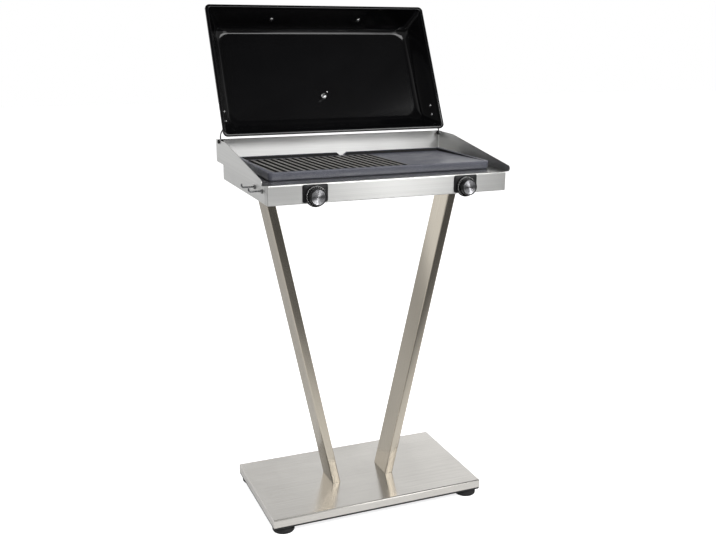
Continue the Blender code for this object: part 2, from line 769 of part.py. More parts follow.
def plate_body():
    """The plate before its surface is cut: a slab with rounded upper edges and a chamfer underneath."""
    def ring(inset, height):
        low = Vector((-PLATE_SIDE + inset, PLATE_FRONT + inset))
        high = Vector((PLATE_SIDE - inset, PLATE_REAR - inset))
        return low, high, PLATE_CORNER - inset, height

    rings = [ring(PLATE_UNDER_EDGE, PLATE_BOTTOM), ring(0.0, PLATE_BOTTOM + PLATE_UNDER_EDGE)]
    for reach, height in arc((0.0, PLATE_TOP - PLATE_EDGE), PLATE_EDGE, 0.0, math.pi / 2, 3):
        rings.append(ring(PLATE_EDGE - reach, height))
    shape, loops = loft(rings, 5)
    shape.faces.new(list(reversed(loops[0])))
    return shape


def make_plate(look, root):
    """The cast plate: ribs on the left, flat on the right, a surface that falls to a notch in the rear rim."""
    plate = mesh_object("grill_plate", plate_body(), look["cast_plate"], root)
    reach = PLATE_SIDE - PLATE_RIM
    pocket = box_shape((-reach, 0.0, 0.0), (reach, SURFACE_LENGTH, 2 * PLATE_REAR_LIP))
    upright = [edge for edge in pocket.edges if abs(edge.verts[0].co.z - edge.verts[1].co.z) > PLATE_REAR_LIP]
    bmesh.ops.bevel(pocket, geom=upright, offset=PLATE_CORNER / 2, segments=3, affect="EDGES", profile=0.5)
    cut(plate, mesh_object("plate_pocket", onto_surface(pocket), None, root, CUTTERS))
    cut(plate, groove_cutter(root))
    notch_top = PLATE_TOP + PLATE_EDGE
    notch_bottom = PLATE_TOP - NOTCH_DEPTH
    flare = (NOTCH_WIDTH - NOTCH_FOOT_WIDTH) / 2 * (notch_top - notch_bottom) / NOTCH_DEPTH
    section = [
        (NOTCH_X - NOTCH_FOOT_WIDTH / 2, notch_bottom),
        (NOTCH_X + NOTCH_FOOT_WIDTH / 2, notch_bottom),
        (NOTCH_X + NOTCH_FOOT_WIDTH / 2 + flare, notch_top),
        (NOTCH_X - NOTCH_FOOT_WIDTH / 2 - flare, notch_top),
    ]
    notch = as_mesh(outline_curve(
        "grease_notch", [section], 4 * PLATE_RIM, None, root, (0.0, PLATE_REAR, 0.0), TOWARDS_FRONT,
    ))
    move_to_cutters(notch)
    cut(plate, notch)
    recess_top = PLATE_TOP - PLATE_REAR_LIP - GROOVE_DEPTH - PLATE_THICKNESS
    recess = block(
        "plate_recess",
        (-PLATE_SIDE + PLATE_WALL, PLATE_FRONT + PLATE_WALL, PLATE_BOTTOM - PLATE_EDGE),
        (PLATE_SIDE - PLATE_WALL, PLATE_REAR - PLATE_WALL, recess_top),
        None, root, collection=CUTTERS,
    )
    cut(plate, recess)


def move_to_cutters(obj):
    """Makes a part object a cutter."""
    bpy.data.collections[PARTS].objects.unlink(obj)
    bpy.data.collections[CUTTERS].objects.link(obj)
    obj.hide_render = True
    obj.display_type = "WIRE"


def make_elements(look, root):
    """A serpentine heating tube in each half of the well, its tails going down through the well's floor."""
    height = FLOOR_BOTTOM - ELEMENT_BELOW_FLOOR
    well_floor = FLOOR_BOTTOM - SEAT_GAP - WELL_DEPTH - TRAY_SHEET
    middle_y = (WELL_FRONT + WELL_REAR) / 2
    first_y = middle_y - ELEMENT_RUN_PITCH * (ELEMENT_RUNS - 1) / 2
    well = bpy.data.objects["heat_well"]
    for side, sign in SIDES:
        corners = [(sign * ELEMENT_OUTER_X, first_y, well_floor - ELEMENT_TAIL)]
        for run in range(ELEMENT_RUNS):
            y = first_y + run * ELEMENT_RUN_PITCH
            xs = (ELEMENT_OUTER_X, ELEMENT_INNER_X) if run % 2 == 0 else (ELEMENT_INNER_X, ELEMENT_OUTER_X)
            corners += [(sign * x, y, height) for x in xs]
        last_y = first_y + (ELEMENT_RUNS - 1) * ELEMENT_RUN_PITCH
        corners.append((sign * ELEMENT_OUTER_X, last_y, well_floor - ELEMENT_TAIL))
        path = rounded_path(corners, 3 * ELEMENT_RADIUS)
        wire(f"heating_element_{side}", path, ELEMENT_RADIUS, look["black_steel"], root)
        for end, y in (("front", first_y), ("rear", last_y)):
            place = (sign * ELEMENT_OUTER_X, y, well_floor)
            name = f"element_hole_{side}_{end}"
            cut(well, drill(name, ELEMENT_RADIUS + SEAT_GAP, 4 * TRAY_SHEET, root, place))


def make_drawer(look, root):
    """The grease drawer behind the casing, on two runners."""
    slide = empty("drawer_slide", root, (DRAWER_X, CASING_REAR, DRAWER_BOTTOM))
    half = DRAWER_WIDTH / 2 - DRAWER_LIP
    top = DRAWER_HEIGHT
    low = Vector((-half, -DRAWER_LENGTH))
    high = Vector((half, -CASING_SHEET))
    lip = Vector((DRAWER_LIP, 0.0))
    draft = Vector((DRAWER_DRAFT, DRAWER_DRAFT))
    rings = [
        (low - lip, high + Vector((DRAWER_LIP, DRAWER_LIP)), DRAWER_CORNER, top),
        (low, high, DRAWER_CORNER, top),
        (low + draft, high - draft, DRAWER_CORNER, DRAWER_SHEET),
    ]
    pressed_pan("grease_drawer", rings, DRAWER_SHEET, look["brushed_stainless"], slide, steps=4)
    lip_end = high.y + DRAWER_LIP
    pull_low = (-DRAWER_PULL_WIDTH / 2, lip_end + SEAT_GAP, top - 2 * DRAWER_SHEET)
    pull_high = (DRAWER_PULL_WIDTH / 2, lip_end + DRAWER_PULL_LENGTH, top)
    block("drawer_pull", pull_low, pull_high, look["black_plastic"], slide)
    runner_top = DRAWER_BOTTOM + DRAWER_HEIGHT - DRAWER_SHEET - SEAT_GAP
    for side, sign in SIDES:
        inner = DRAWER_X + sign * (half + SIDE_PLAY)
        outer = inner + sign * RUNNER_WIDTH
        block(
            f"drawer_runner_{side}",
            (min(inner, outer), CASING_REAR - DRAWER_LENGTH, DRAWER_BOTTOM),
            (max(inner, outer), CASING_REAR - 4 * CASING_SHEET, runner_top),
            look["galvanised_steel"], root,
        )


def make_controls(look, root):
    """On each side a thermostat with its bush, a bezel plate, and the knob with its shaft and cap."""
    bezel_low = CASING_BOTTOM + BEZEL_BOTTOM_MARGIN
    bezel_high = CASING_TOP - BEZEL_TOP_MARGIN
    for side, sign in SIDES:
        axis_place = (sign * KNOB_X, BEZEL_FRONT, KNOB_Z)
        axis = empty(f"knob_axis_{side}", root, axis_place, TOWARDS_FRONT)
        corner_low = (-BEZEL_WIDTH / 2, bezel_low - KNOB_Z)
        corner_high = (BEZEL_WIDTH / 2, bezel_high - KNOB_Z)
        outlines = [
            rounded_rectangle(corner_low, corner_high, BEZEL_CORNER, 4),
            circle((0.0, 0.0), PANEL_BUSH_HOLE),
        ]
        place = (sign * KNOB_X, CASING_FRONT - SEAT_GAP - BEZEL_THICKNESS / 2, KNOB_Z)
        outline_curve(f"bezel_{side}", outlines, BEZEL_THICKNESS, look["black_plastic"], root, place, TOWARDS_FRONT)
        make_thermostat(side, look, axis)
        make_knob(side, look, axis)


def make_thermostat(side, look, axis):
    """A thermostat block against the panel's inner face, with its round bush through the panel."""
    face = -(BEZEL_THICKNESS + SEAT_GAP + CASING_SHEET + SEAT_GAP)
    bore = SHAFT_RADIUS + RUNNING_FIT
    half = THERMOSTAT_SIZE / 2
    low = (-half, -min(half, KNOB_ABOVE_CASING_BOTTOM - CASING_SHEET * 2), face - THERMOSTAT_LENGTH)
    body = block(f"thermostat_{side}", low, (half, half, face), look["galvanised_steel"], axis)
    bush = turned(
        f"bush_{side}",
        [(bore, 0.0), (BUSH_RADIUS, 0.0), (BUSH_RADIUS, face - CASING_SHEET), (bore, face - CASING_SHEET)],
        None, axis, closed=True, collection=CUTTERS,
    )
    join = body.modifiers.new("bush", "BOOLEAN")
    join.operation = "UNION"
    join.object = bush
    cut(body, drill(f"shaft_bore_{side}", bore, THERMOSTAT_LENGTH, axis, (0.0, 0.0, face), steps=32))


def make_knob(side, look, axis):
    """The knob on its shaft: a wide skirt and a hub, under a spun metal cap."""
    face = -(BEZEL_THICKNESS + SEAT_GAP + CASING_SHEET + SEAT_GAP)
    seat = SEAT_GAP
    skirt_top = seat + KNOB_SKIRT_LENGTH
    hub_top = seat + KNOB_HUB_LENGTH
    bore = SHAFT_RADIUS + RUNNING_FIT
    shaft_top = hub_top - SHAFT_RADIUS
    shaft_bottom = face - THERMOSTAT_LENGTH / 2 + SEAT_GAP
    turned(
        f"shaft_{side}",
        [(0.0, shaft_top - SEAT_GAP), (SHAFT_RADIUS, shaft_top - SEAT_GAP),
         (SHAFT_RADIUS, shaft_bottom), (0.0, shaft_bottom)],
        look["plated_steel"], axis,
    )
    edge = KNOB_SKIRT_LENGTH / 4
    turned(
        f"knob_{side}",
        [
            (0.0, hub_top), (KNOB_HUB_RADIUS, hub_top), (KNOB_HUB_RADIUS, skirt_top),
            (KNOB_SKIRT_RADIUS - edge, skirt_top), (KNOB_SKIRT_RADIUS, skirt_top - edge),
            (KNOB_SKIRT_RADIUS, seat + edge), (KNOB_SKIRT_RADIUS - edge, seat),
            (bore, seat), (bore, shaft_top), (0.0, shaft_top),
        ],
        look["black_plastic"], axis, steps=KNOB_STEPS,
    )
    inside = KNOB_CAP_RADIUS - KNOB_CAP_WALL
    foot = skirt_top + SEAT_GAP
    top = foot + KNOB_CAP_LENGTH
    under = hub_top + SEAT_GAP
    turned(
        f"knob_cap_{side}",
        [
            (0.0, top - KNOB_CAP_DISH), (KNOB_CAP_RADIUS * 0.8, top - KNOB_CAP_DISH), (KNOB_CAP_RADIUS - edge, top),
            (KNOB_CAP_RADIUS, top - edge), (KNOB_CAP_RADIUS, foot),
            (inside, foot), (inside, under), (0.0, under),
        ],
        look["spun_aluminium"], axis, steps=KNOB_STEPS,
    )


def lid_rings():
    """The lid's surface from the rolled hem over the rim and down the wall to the floor."""
    half = LID_SIDE
    low = Vector((-half, 0.0))
    high = Vector((half, LID_HEIGHT))
    rings = [(low, high, LID_RIM_CORNER, -LID_RIM_ROLL)]
    for inset, down in arc((LID_RIM_EDGE, -LID_RIM_EDGE), LID_RIM_EDGE, math.pi, math.pi / 2, 3):
        step = Vector((inset, inset))
        rings.append((low + step, high - step, LID_RIM_CORNER - inset / 2, down))
    for inset, down in arc((LID_RIM - LID_RIM_EDGE, -LID_RIM_EDGE), LID_RIM_EDGE, math.pi / 2, 0.0, 3)[:-1]:
        step = Vector((inset, inset))
        rings.append((low + step, high - step, LID_RIM_CORNER - inset / 2, down))
    wall_end = LID_FILLET_START
    fillet = [(LID_WALL_SHARE * wall_end, wall_end)]
    for step in range(1, LID_FILLET_STEPS + 1):
        t = step / LID_FILLET_STEPS
        run = (1 - t) ** 2 * LID_WALL_SHARE * wall_end + 2 * t * (1 - t) * LID_WALL_SHARE + t ** 2
        depth = (1 - t) ** 2 * wall_end + 2 * t * (1 - t) + t ** 2
        fillet.append((run, depth))
    for run, depth in fillet:
        step_low = Vector((LID_RIM + run * LID_RUN_SIDE, LID_RIM + run * LID_RUN_REAR))
        step_high = Vector((LID_RIM + run * LID_RUN_SIDE, LID_RIM + run * LID_RUN_FRONT))
        corner = LID_RIM_CORNER + run * (LID_FLOOR_CORNER - LID_RIM_CORNER)
        rings.append((low + step_low, high - step_high, corner, -depth * LID_DEPTH))
    return rings


def wall_inset(depth, run):
    """How far the straight part of a lid wall stands in from the rim's outer edge at this depth."""
    return LID_RIM + run * LID_WALL_SHARE * depth / LID_DEPTH


def make_lid(look, root):
    """The lid with everything that swings on it, under an empty on the hinge axis."""
    pivot = empty("lid_axis", root, (0.0, HINGE_Y, HINGE_Z), (-LID_LEAN, 0.0, 0.0))
    frame = empty("lid_frame", pivot, (0.0, -HINGE_BEHIND_RIM, HINGE_BELOW_RIM))
    lid = pressed_pan("lid_pan", lid_rings(), LID_SHEET, look["black_enamel"], frame, turn=math.pi / 2)
    cut(lid, drill("gauge_hole", GAUGE_STEM_RADIUS + SEAT_GAP, 4 * GAUGE_LENGTH, frame,
                   (0.0, LID_DEPTH, GAUGE_H), TOWARDS_REAR))
    make_handle(look, frame)
    make_gauge(look, frame)
    for side, sign in SIDES:
        make_hinge_arm(side, sign, look, frame)


def make_handle(look, frame):
    """A round bail handle square to the lid's front wall, with a foot at each end."""
    draft = math.atan2(LID_RUN_FRONT * LID_WALL_SHARE, LID_DEPTH)
    out = Vector((0.0, math.sin(draft), math.cos(draft)))
    wall = Vector((0.0, HANDLE_DEPTH, LID_HEIGHT - wall_inset(HANDLE_DEPTH, LID_RUN_FRONT)))
    outside = wall + out * (LID_SHEET + SEAT_GAP)
    turn = (-draft, 0.0, 0.0)
    for side, sign in SIDES:
        place = outside + Vector((sign * HANDLE_X, 0.0, 0.0))
        turned(
            f"handle_foot_{side}",
            [
                (0.0, HANDLE_FOOT_THICKNESS), (HANDLE_RADIUS, HANDLE_FOOT_THICKNESS),
                (HANDLE_FOOT_RADIUS, HANDLE_FOOT_THICKNESS / 2), (HANDLE_FOOT_RADIUS, 0.0), (0.0, 0.0),
            ],
            look["black_plastic"], frame, place, turn, steps=24,
        )
    start = outside + out * (HANDLE_FOOT_THICKNESS + SEAT_GAP)
    top = outside + out * HANDLE_STANDOFF
    left = Vector((-HANDLE_X, 0.0, 0.0))
    right = Vector((HANDLE_X, 0.0, 0.0))
    path = rounded_path([start + left, top + left, top + right, start + right], HANDLE_BEND, 6)
    wire("lid_handle", path, HANDLE_RADIUS, look["black_plastic"], frame, resolution=4)


def make_gauge(look, frame):
    """The dial thermometer on the lid's outside, its stem and probe through the lid, and its nut inside."""
    outer = LID_DEPTH + LID_SHEET + SEAT_GAP
    place = (0.0, outer, GAUGE_H)
    boss = GAUGE_LENGTH / 3
    glass_seat = GAUGE_LENGTH - 2 * GAUGE_GLASS_THICKNESS
    inside = GAUGE_RADIUS - GAUGE_WALL
    turned(
        "gauge_case",
        [
            (0.0, glass_seat - SEAT_GAP), (inside, glass_seat - SEAT_GAP), (inside, GAUGE_LENGTH),
            (GAUGE_RADIUS, GAUGE_LENGTH), (GAUGE_RADIUS, boss), (GAUGE_BOSS_RADIUS, boss),
            (GAUGE_BOSS_RADIUS, 0.0), (0.0, 0.0),
        ],
        look["plated_steel"], frame, place, TOWARDS_REAR, steps=40,
    )
    turned(
        "gauge_glass",
        [
            (0.0, glass_seat + GAUGE_GLASS_THICKNESS), (inside - SEAT_GAP, glass_seat + GAUGE_GLASS_THICKNESS),
            (inside - SEAT_GAP, glass_seat), (0.0, glass_seat),
        ],
        look["clear_glass"], frame, place, TOWARDS_REAR, steps=40,
    )
    tip = -(LID_SHEET + GAUGE_NUT_THICKNESS + GAUGE_PROBE_LENGTH)
    shoulder = -(LID_SHEET + 2 * SEAT_GAP + GAUGE_NUT_THICKNESS + GAUGE_PROBE_RADIUS)
    turned(
        "gauge_stem",
        [
            (0.0, -SEAT_GAP), (GAUGE_STEM_RADIUS, -SEAT_GAP), (GAUGE_STEM_RADIUS, shoulder),
            (GAUGE_PROBE_RADIUS, shoulder), (GAUGE_PROBE_RADIUS, tip + GAUGE_PROBE_RADIUS), (0.0, tip),
        ],
        look["plated_steel"], frame, place, TOWARDS_REAR, steps=24,
    )
    bore = (GAUGE_STEM_RADIUS + SEAT_GAP) / math.cos(math.pi / GAUGE_NUT_SIDES)
    nut_top = -(LID_SHEET + 2 * SEAT_GAP)
    turned(
        "gauge_nut",
        [
            (GAUGE_NUT_RADIUS, nut_top), (GAUGE_NUT_RADIUS, nut_top - GAUGE_NUT_THICKNESS),
            (bore, nut_top - GAUGE_NUT_THICKNESS), (bore, nut_top),
        ],
        look["plated_steel"], frame, place, TOWARDS_REAR, steps=GAUGE_NUT_SIDES, closed=True,
    )


def make_hinge_arm(side, sign, look, frame):
    """The wire that carries the lid: an eye round the pin, a rise, and a run along the wall under a clamp."""
    wall_x = LID_SIDE - wall_inset(WIRE_DEPTH, LID_RUN_SIDE)
    draft = math.atan2(LID_RUN_SIDE * LID_WALL_SHARE, LID_DEPTH)
    run_x = wall_x + (LID_SHEET + SEAT_GAP + WIRE_RADIUS) / math.cos(draft)
    pivot = Vector((0.0, HINGE_BEHIND_RIM, -HINGE_BELOW_RIM))
    start = math.radians(55)
    eye = []
    for y, z in arc((pivot.y, pivot.z), WIRE_EYE_RADIUS, start, start - math.radians(300), 14):
        eye.append(Vector((sign * WIRE_X, y, z)))
    eye.reverse()
    corners = [
        eye[-1],
        Vector((sign * WIRE_X, (WIRE_DEPTH + HINGE_BEHIND_RIM) / 2, WIRE_RISE / 2)),
        Vector((sign * run_x, WIRE_DEPTH, WIRE_RISE)),
        Vector((sign * run_x, WIRE_DEPTH, WIRE_END)),
    ]
    path = eye[:-1] + rounded_path(corners, 3 * WIRE_RADIUS, 4)
    wire(f"hinge_wire_{side}", path, WIRE_RADIUS, look["plated_steel"], frame)
    out = Vector((math.cos(draft), math.sin(draft)))
    middle = Vector((run_x, WIRE_DEPTH)) + out * (WIRE_RADIUS + SEAT_GAP + WIRE_CLAMP_THICKNESS / 2)
    half = WIRE_CLAMP_THICKNESS / 2
    shape = box_shape((-half, -WIRE_CLAMP_WIDTH / 2, -WIRE_CLAMP_LENGTH / 2),
                      (half, WIRE_CLAMP_WIDTH / 2, WIRE_CLAMP_LENGTH / 2))
    clamp = mesh_object(f"wire_clamp_{side}", shape, look["galvanised_steel"], frame)
    clamp.location = (sign * middle.x, middle.y, WIRE_END - WIRE_CLAMP_LENGTH / 2)
    clamp.rotation_euler = (0.0, 0.0, sign * draft)


def make_hinge_pins(look, root):
    """The fixed pins in the side shields that the wires' eyes turn on, each with its washer."""
    for side, sign in SIDES:
        outside = SHIELD_OUTSIDE + SEAT_GAP
        inner_face = WIRE_X - WIRE_RADIUS - SEAT_GAP
        inner_head = inner_face - PIN_HEAD_LENGTH
        edge = PIN_HEAD_LENGTH / 4
        place = (0.0, HINGE_Y, HINGE_Z)
        turned(
            f"hinge_pin_{side}",
            [
                (0.0, outside + PIN_HEAD_LENGTH), (PIN_HEAD_RADIUS - edge, outside + PIN_HEAD_LENGTH),
                (PIN_HEAD_RADIUS, outside + PIN_HEAD_LENGTH - edge), (PIN_HEAD_RADIUS, outside),
                (PIN_RADIUS, outside), (PIN_RADIUS, inner_face), (PIN_HEAD_RADIUS, inner_face),
                (PIN_HEAD_RADIUS, inner_head + edge), (PIN_HEAD_RADIUS - edge, inner_head), (0.0, inner_head),
            ],
            look["black_steel"], root, place, towards(sign), steps=24,
        )
        washer_out = SHIELD_INSIDE - SEAT_GAP
        bore = PIN_RADIUS + SEAT_GAP
        turned(
            f"hinge_washer_{side}",
            [
                (PIN_WASHER_RADIUS, washer_out), (PIN_WASHER_RADIUS, washer_out - WASHER_THICKNESS),
                (bore, washer_out - WASHER_THICKNESS), (bore, washer_out),
            ],
            look["plated_steel"], root, place, towards(sign), steps=24, closed=True,
        )


def make_hooks(look, root):
    """Two wire hooks on small plates on the casing's left side."""
    height = CASING_TOP - HOOK_BELOW_CASING_TOP
    plate_face = -CASING_SIDE - SEAT_GAP
    for index, name in enumerate(("front", "rear")):
        y = CASING_FRONT + HOOK_FIRST + index * HOOK_SPACING
        block(
            f"hook_plate_{name}",
            (plate_face - HOOK_PLATE_THICKNESS, y - HOOK_PLATE / 2, height - HOOK_PLATE / 2),
            (plate_face, y + HOOK_PLATE / 2, height + HOOK_PLATE / 2),
            look["plated_steel"], root,
        )
        start = plate_face - HOOK_PLATE_THICKNESS - SEAT_GAP
        corners = [
            (start, y, height),
            (-CASING_SIDE - HOOK_REACH, y, height),
            (-CASING_SIDE - HOOK_REACH, y, height + HOOK_TIP),
        ]
        wire(f"hook_{name}", rounded_path(corners, HOOK_BEND), HOOK_WIRE_RADIUS, look["plated_steel"], root)


def make_inlet(look, root):
    """The cable gland in the rear wall and the terminal block inside it."""
    height = (CASING_BOTTOM + CASING_TOP) / 2
    start = CASING_REAR + SEAT_GAP
    turned(
        "cable_gland",
        [
            (GLAND_RADIUS * 0.7, GLAND_LENGTH), (GLAND_RADIUS, GLAND_LENGTH / 2), (GLAND_RADIUS, 0.0),
            (GLAND_BORE, 0.0), (GLAND_BORE, GLAND_LENGTH),
        ],
        look["black_plastic"], root, (GLAND_X, start, height), TOWARDS_REAR, steps=24, closed=True,
    )
    low_z = CASING_BOTTOM + CASING_SHEET + SEAT_GAP
    inside = CASING_REAR - CASING_SHEET - SIDE_PLAY - GLAND_LENGTH
    block(
        "terminal_block",
        (GLAND_X - TERMINAL_WIDTH / 2, inside - TERMINAL_DEPTH, low_z),
        (GLAND_X + TERMINAL_WIDTH / 2, inside, low_z + TERMINAL_HEIGHT),
        look["black_plastic"], root,
    )


def world_points(obj, graph):
    """The corners of an object's finished mesh in world space."""
    evaluated = obj.evaluated_get(graph)
    data = evaluated.to_mesh()
    points = [obj.matrix_world @ vert.co for vert in data.vertices]
    evaluated.to_mesh_clear()
    return points


def move_origin(root):
    """Moves the whole object so that its box stands centred over the origin, and says where its axes are."""
    bpy.context.view_layer.update()
    graph = bpy.context.evaluated_depsgraph_get()
    points = []
    for obj in bpy.data.collections[PARTS].objects:
        if obj.type != "EMPTY":
            points += world_points(obj, graph)
    low = Vector([min(point[axis] for point in points) for axis in range(3)])
    high = Vector([max(point[axis] for point in points) for axis in range(3)])
    root.location = (-(low.x + high.x) / 2, -(low.y + high.y) / 2, -low.z)
    bpy.context.view_layer.update()
    print("size", [round(value, 4) for value in high - low])
    for obj in bpy.data.collections[PARTS].objects:
        if obj.type == "EMPTY":
            print(obj.name, [round(value, 5) for value in obj.matrix_world.translation])


def main():
    """Builds the grill."""
    clear_scene()
    look = finishes()
    root = empty("grill_origin")
    make_base(look, root)
    make_legs(look, root)
    make_casing(look, root)
    make_tray(look, root)
    make_shields(look, root)
    make_plate(look, root)
    make_elements(look, root)
    make_drawer(look, root)
    make_controls(look, root)
    make_lid(look, root)
    make_hinge_pins(look, root)
    make_hooks(look, root)
    make_inlet(look, root)
    move_origin(root)


main()
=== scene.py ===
# %% [markdown]
# # An electric grill on a V-shaped stand
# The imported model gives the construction: every solid at its real size, and the joints.
# This script gives the looks. Each step first says what the piece or finish is on the real
# grill, how it could be made, and why this way was chosen. All lengths are in metres.

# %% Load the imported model
import json
import math

import bmesh
import bpy
import numpy as np
from mathutils import Matrix, Vector


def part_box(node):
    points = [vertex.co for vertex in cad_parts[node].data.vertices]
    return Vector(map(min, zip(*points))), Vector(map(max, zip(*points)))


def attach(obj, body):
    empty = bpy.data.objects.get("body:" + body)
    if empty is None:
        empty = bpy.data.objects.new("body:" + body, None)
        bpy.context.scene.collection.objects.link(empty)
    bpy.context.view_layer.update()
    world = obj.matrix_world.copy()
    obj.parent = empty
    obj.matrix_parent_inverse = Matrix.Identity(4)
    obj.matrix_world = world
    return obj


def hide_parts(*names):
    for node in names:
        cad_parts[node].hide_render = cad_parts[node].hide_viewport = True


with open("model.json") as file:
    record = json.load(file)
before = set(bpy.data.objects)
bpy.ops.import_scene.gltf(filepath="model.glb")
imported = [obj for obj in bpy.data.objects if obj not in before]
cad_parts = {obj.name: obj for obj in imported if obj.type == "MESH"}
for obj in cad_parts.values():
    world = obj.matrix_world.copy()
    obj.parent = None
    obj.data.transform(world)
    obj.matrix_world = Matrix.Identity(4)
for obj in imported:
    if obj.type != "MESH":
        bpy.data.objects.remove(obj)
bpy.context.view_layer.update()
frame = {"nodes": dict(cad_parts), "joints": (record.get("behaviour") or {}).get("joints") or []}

# %% [markdown]
# ## Where things are
# A new piece has to sit where its solid is. The lid's axis gives the middle X for all pairs.

# %% Places from the frame
JOINTS = {joint["name"]: joint for joint in frame["joints"]}
LID_AXIS = np.array(JOINTS["lid_hinge"]["pos_m"])
MIDDLE_X = float(LID_AXIS[0])


def low(node):
    """The lowest corner of a CAD node's box."""
    return np.array(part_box(node)[0])


def high(node):
    """The highest corner of a CAD node's box."""
    return np.array(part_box(node)[1])


print("casing", low("casing"), high("casing"))

# %% [markdown]
# ## Colours and node helpers
# Colours are written as the hex values a painter would pick on screen. Blender's shaders
# work in linear light, so one function turns the one into the other. Another sets the sockets
# of a node, one adds a shader node with its settings and links, and one starts a material.


# %% Colour and node helpers
def linear(hex_colour, share=1.0):
    """sRGB hex to linear RGBA: ((c + 0.055) / 1.055) to the power 2.4 for each channel c, times a share."""
    channels = np.array([int(hex_colour[index:index + 2], 16) for index in (1, 3, 5)]) / 255
    straight = np.where(channels <= 0.04045, channels / 12.92, ((channels + 0.055) / 1.055) ** 2.4)
    return (*map(float, straight * share), 1.0)


def plug(tree, owner, **sockets):
    """Sets sockets, by name or as s and a number, to values or links. A node stands for its first output."""
    for name, value in sockets.items():
        socket = owner.inputs[int(name[1:]) if name[1:].isdigit() else name.replace("_", " ")]
        if isinstance(value, bpy.types.Node):
            value = value.outputs[0]
        if isinstance(value, bpy.types.NodeSocket):
            tree.links.new(value, socket)
        else:
            socket.default_value = value


def node(tree, kind, settings=None, stops=None, **sockets):
    """Adds a shader node. settings are its properties or the name of its operation, and sockets go to plug.

    stops are a ramp's positions and their linear colours.
    """
    made = tree.nodes.new("ShaderNode" + kind)
    if isinstance(settings, str):
        settings = {"operation": settings}
    for name, value in (settings or {}).items():
        setattr(made, name, value)
    for _ in range(len(stops or {}) - 2):
        made.color_ramp.elements.new(0.5)
    for number, (position, colour) in enumerate((stops or {}).items()):
        made.color_ramp.elements[number].position = position
        made.color_ramp.elements[number].color = colour
    plug(tree, made, **sockets)
    return made


def material(name, **sockets):
    """A material, its node tree, its Principled shader with these values, and its object coordinates."""
    made = bpy.data.materials.new(name)
    made.use_nodes = True
    tree = made.node_tree
    shader = tree.nodes["Principled BSDF"]
    plug(tree, shader, **sockets)
    print("finish", name)
    return made, tree, shader, node(tree, "TexCoord").outputs["Object"]


def paint(obj, finish):
    """Gives an object one material in one slot."""
    obj.data.materials.clear()
    obj.data.materials.append(finish)


# %% [markdown]
# ## Brushed stainless steel
# The base, legs, casing and shields are stainless sheet, brushed with an abrasive belt. Its fine
# parallel scratches, about 0.1 to 0.5 mm apart and some tens of millimetres long, blur a
# reflection across the grain and leave it sharp along it. The shader's anisotropy gives that,
# with its tangent across the grain, and a noise texture stretched along the grain gives the streaks.
# Scratches this fine don't show at this size, so a second, coarser set of streaks stands for them.


# %% Brushed stainless
LEG_ACROSS = 0.0225
LEG_SIZE = high("leg_right") - low("leg_right")
LEG_LEAN = float((LEG_SIZE[0] - LEG_ACROSS) / LEG_SIZE[2])
ACROSS_GRAIN = 900.0
ALONG_GRAIN = 3.0
COARSE_SHARE = 0.16
ROUGH_SPREAD = 0.03


def leaning(tree, place):
    """Coordinates in which both legs stand upright: X is the distance from the middle less lean times Z."""
    split = node(tree, "SeparateXYZ", Vector=place)
    apart = node(tree, "Math", "SUBTRACT", s0=split, s1=MIDDLE_X)
    outward = node(tree, "Math", "ABSOLUTE", s0=apart)
    upright = node(tree, "Math", "MULTIPLY_ADD", s0=split.outputs["Z"], s1=-LEG_LEAN, s2=outward)
    return node(tree, "CombineXYZ", X=upright, Y=split.outputs["Y"], Z=split.outputs["Z"])


def brushed_steel(part, along, rough, stretch=0.8, colour="#DAD7D2"):
    """Brushed stainless, its grain along axis 0, X, or 2, Z. On faces square to X an X grain turns to Y.

    Streaks are noise over position times a scale that is small along the grain and large across it.
    """
    made, tree, shader, place = material(f"stainless_brushed_{part}", Metallic=1.0, Roughness=rough,
                                         Anisotropic=stretch)
    if along == 0:
        across = node(tree, "CombineXYZ", X=0.0, Y=0.15, Z=1.0)
    else:
        across = node(tree, "CombineXYZ", X=1.0, Y=1.0, Z=0.0)
    facing = node(tree, "NewGeometry").outputs["Normal"]
    facing_x = node(tree, "SeparateXYZ", Vector=facing)
    amount = node(tree, "Math", "ABSOLUTE", s0=facing_x)
    side = node(tree, "Math", "GREATER_THAN", s0=amount, s1=0.6)
    fine = [ACROSS_GRAIN] * 3
    fine[along] = ALONG_GRAIN
    turned = (ACROSS_GRAIN, ALONG_GRAIN, ACROSS_GRAIN) if along == 0 else tuple(fine)
    scale = node(tree, "Mix", {"data_type": "VECTOR"}, s0=side, s4=tuple(fine), s5=turned).outputs[1]
    laid = leaning(tree, place) if along == 2 else place
    grain_space = node(tree, "VectorMath", "MULTIPLY", s0=laid, s1=scale)
    grain = node(tree, "TexNoise", Vector=grain_space, Scale=1.0, Detail=3.0, Roughness=0.6)
    streak = node(tree, "TexNoise", Vector=grain_space, Scale=COARSE_SHARE, Detail=2.0)
    cloud = node(tree, "TexNoise", Vector=place, Scale=9.0, Detail=3.0, Roughness=0.5)
    mixed = node(tree, "Math", "MULTIPLY_ADD", s0=streak, s1=0.6, s2=grain)
    tone = node(tree, "ValToRGB", stops={0.55: linear(colour, 0.93), 1.05: linear(colour, 1.03)}, s0=mixed)
    spread = node(tree, "MapRange", Value=cloud, From_Min=0.3, From_Max=0.7, To_Min=rough - ROUGH_SPREAD,
                  To_Max=rough + ROUGH_SPREAD)
    bump = node(tree, "Bump", Height=grain, Strength=0.08, Distance=0.00004)
    plug(tree, shader, Tangent=across, Base_Color=tone, Roughness=spread, Normal=bump)
    return made


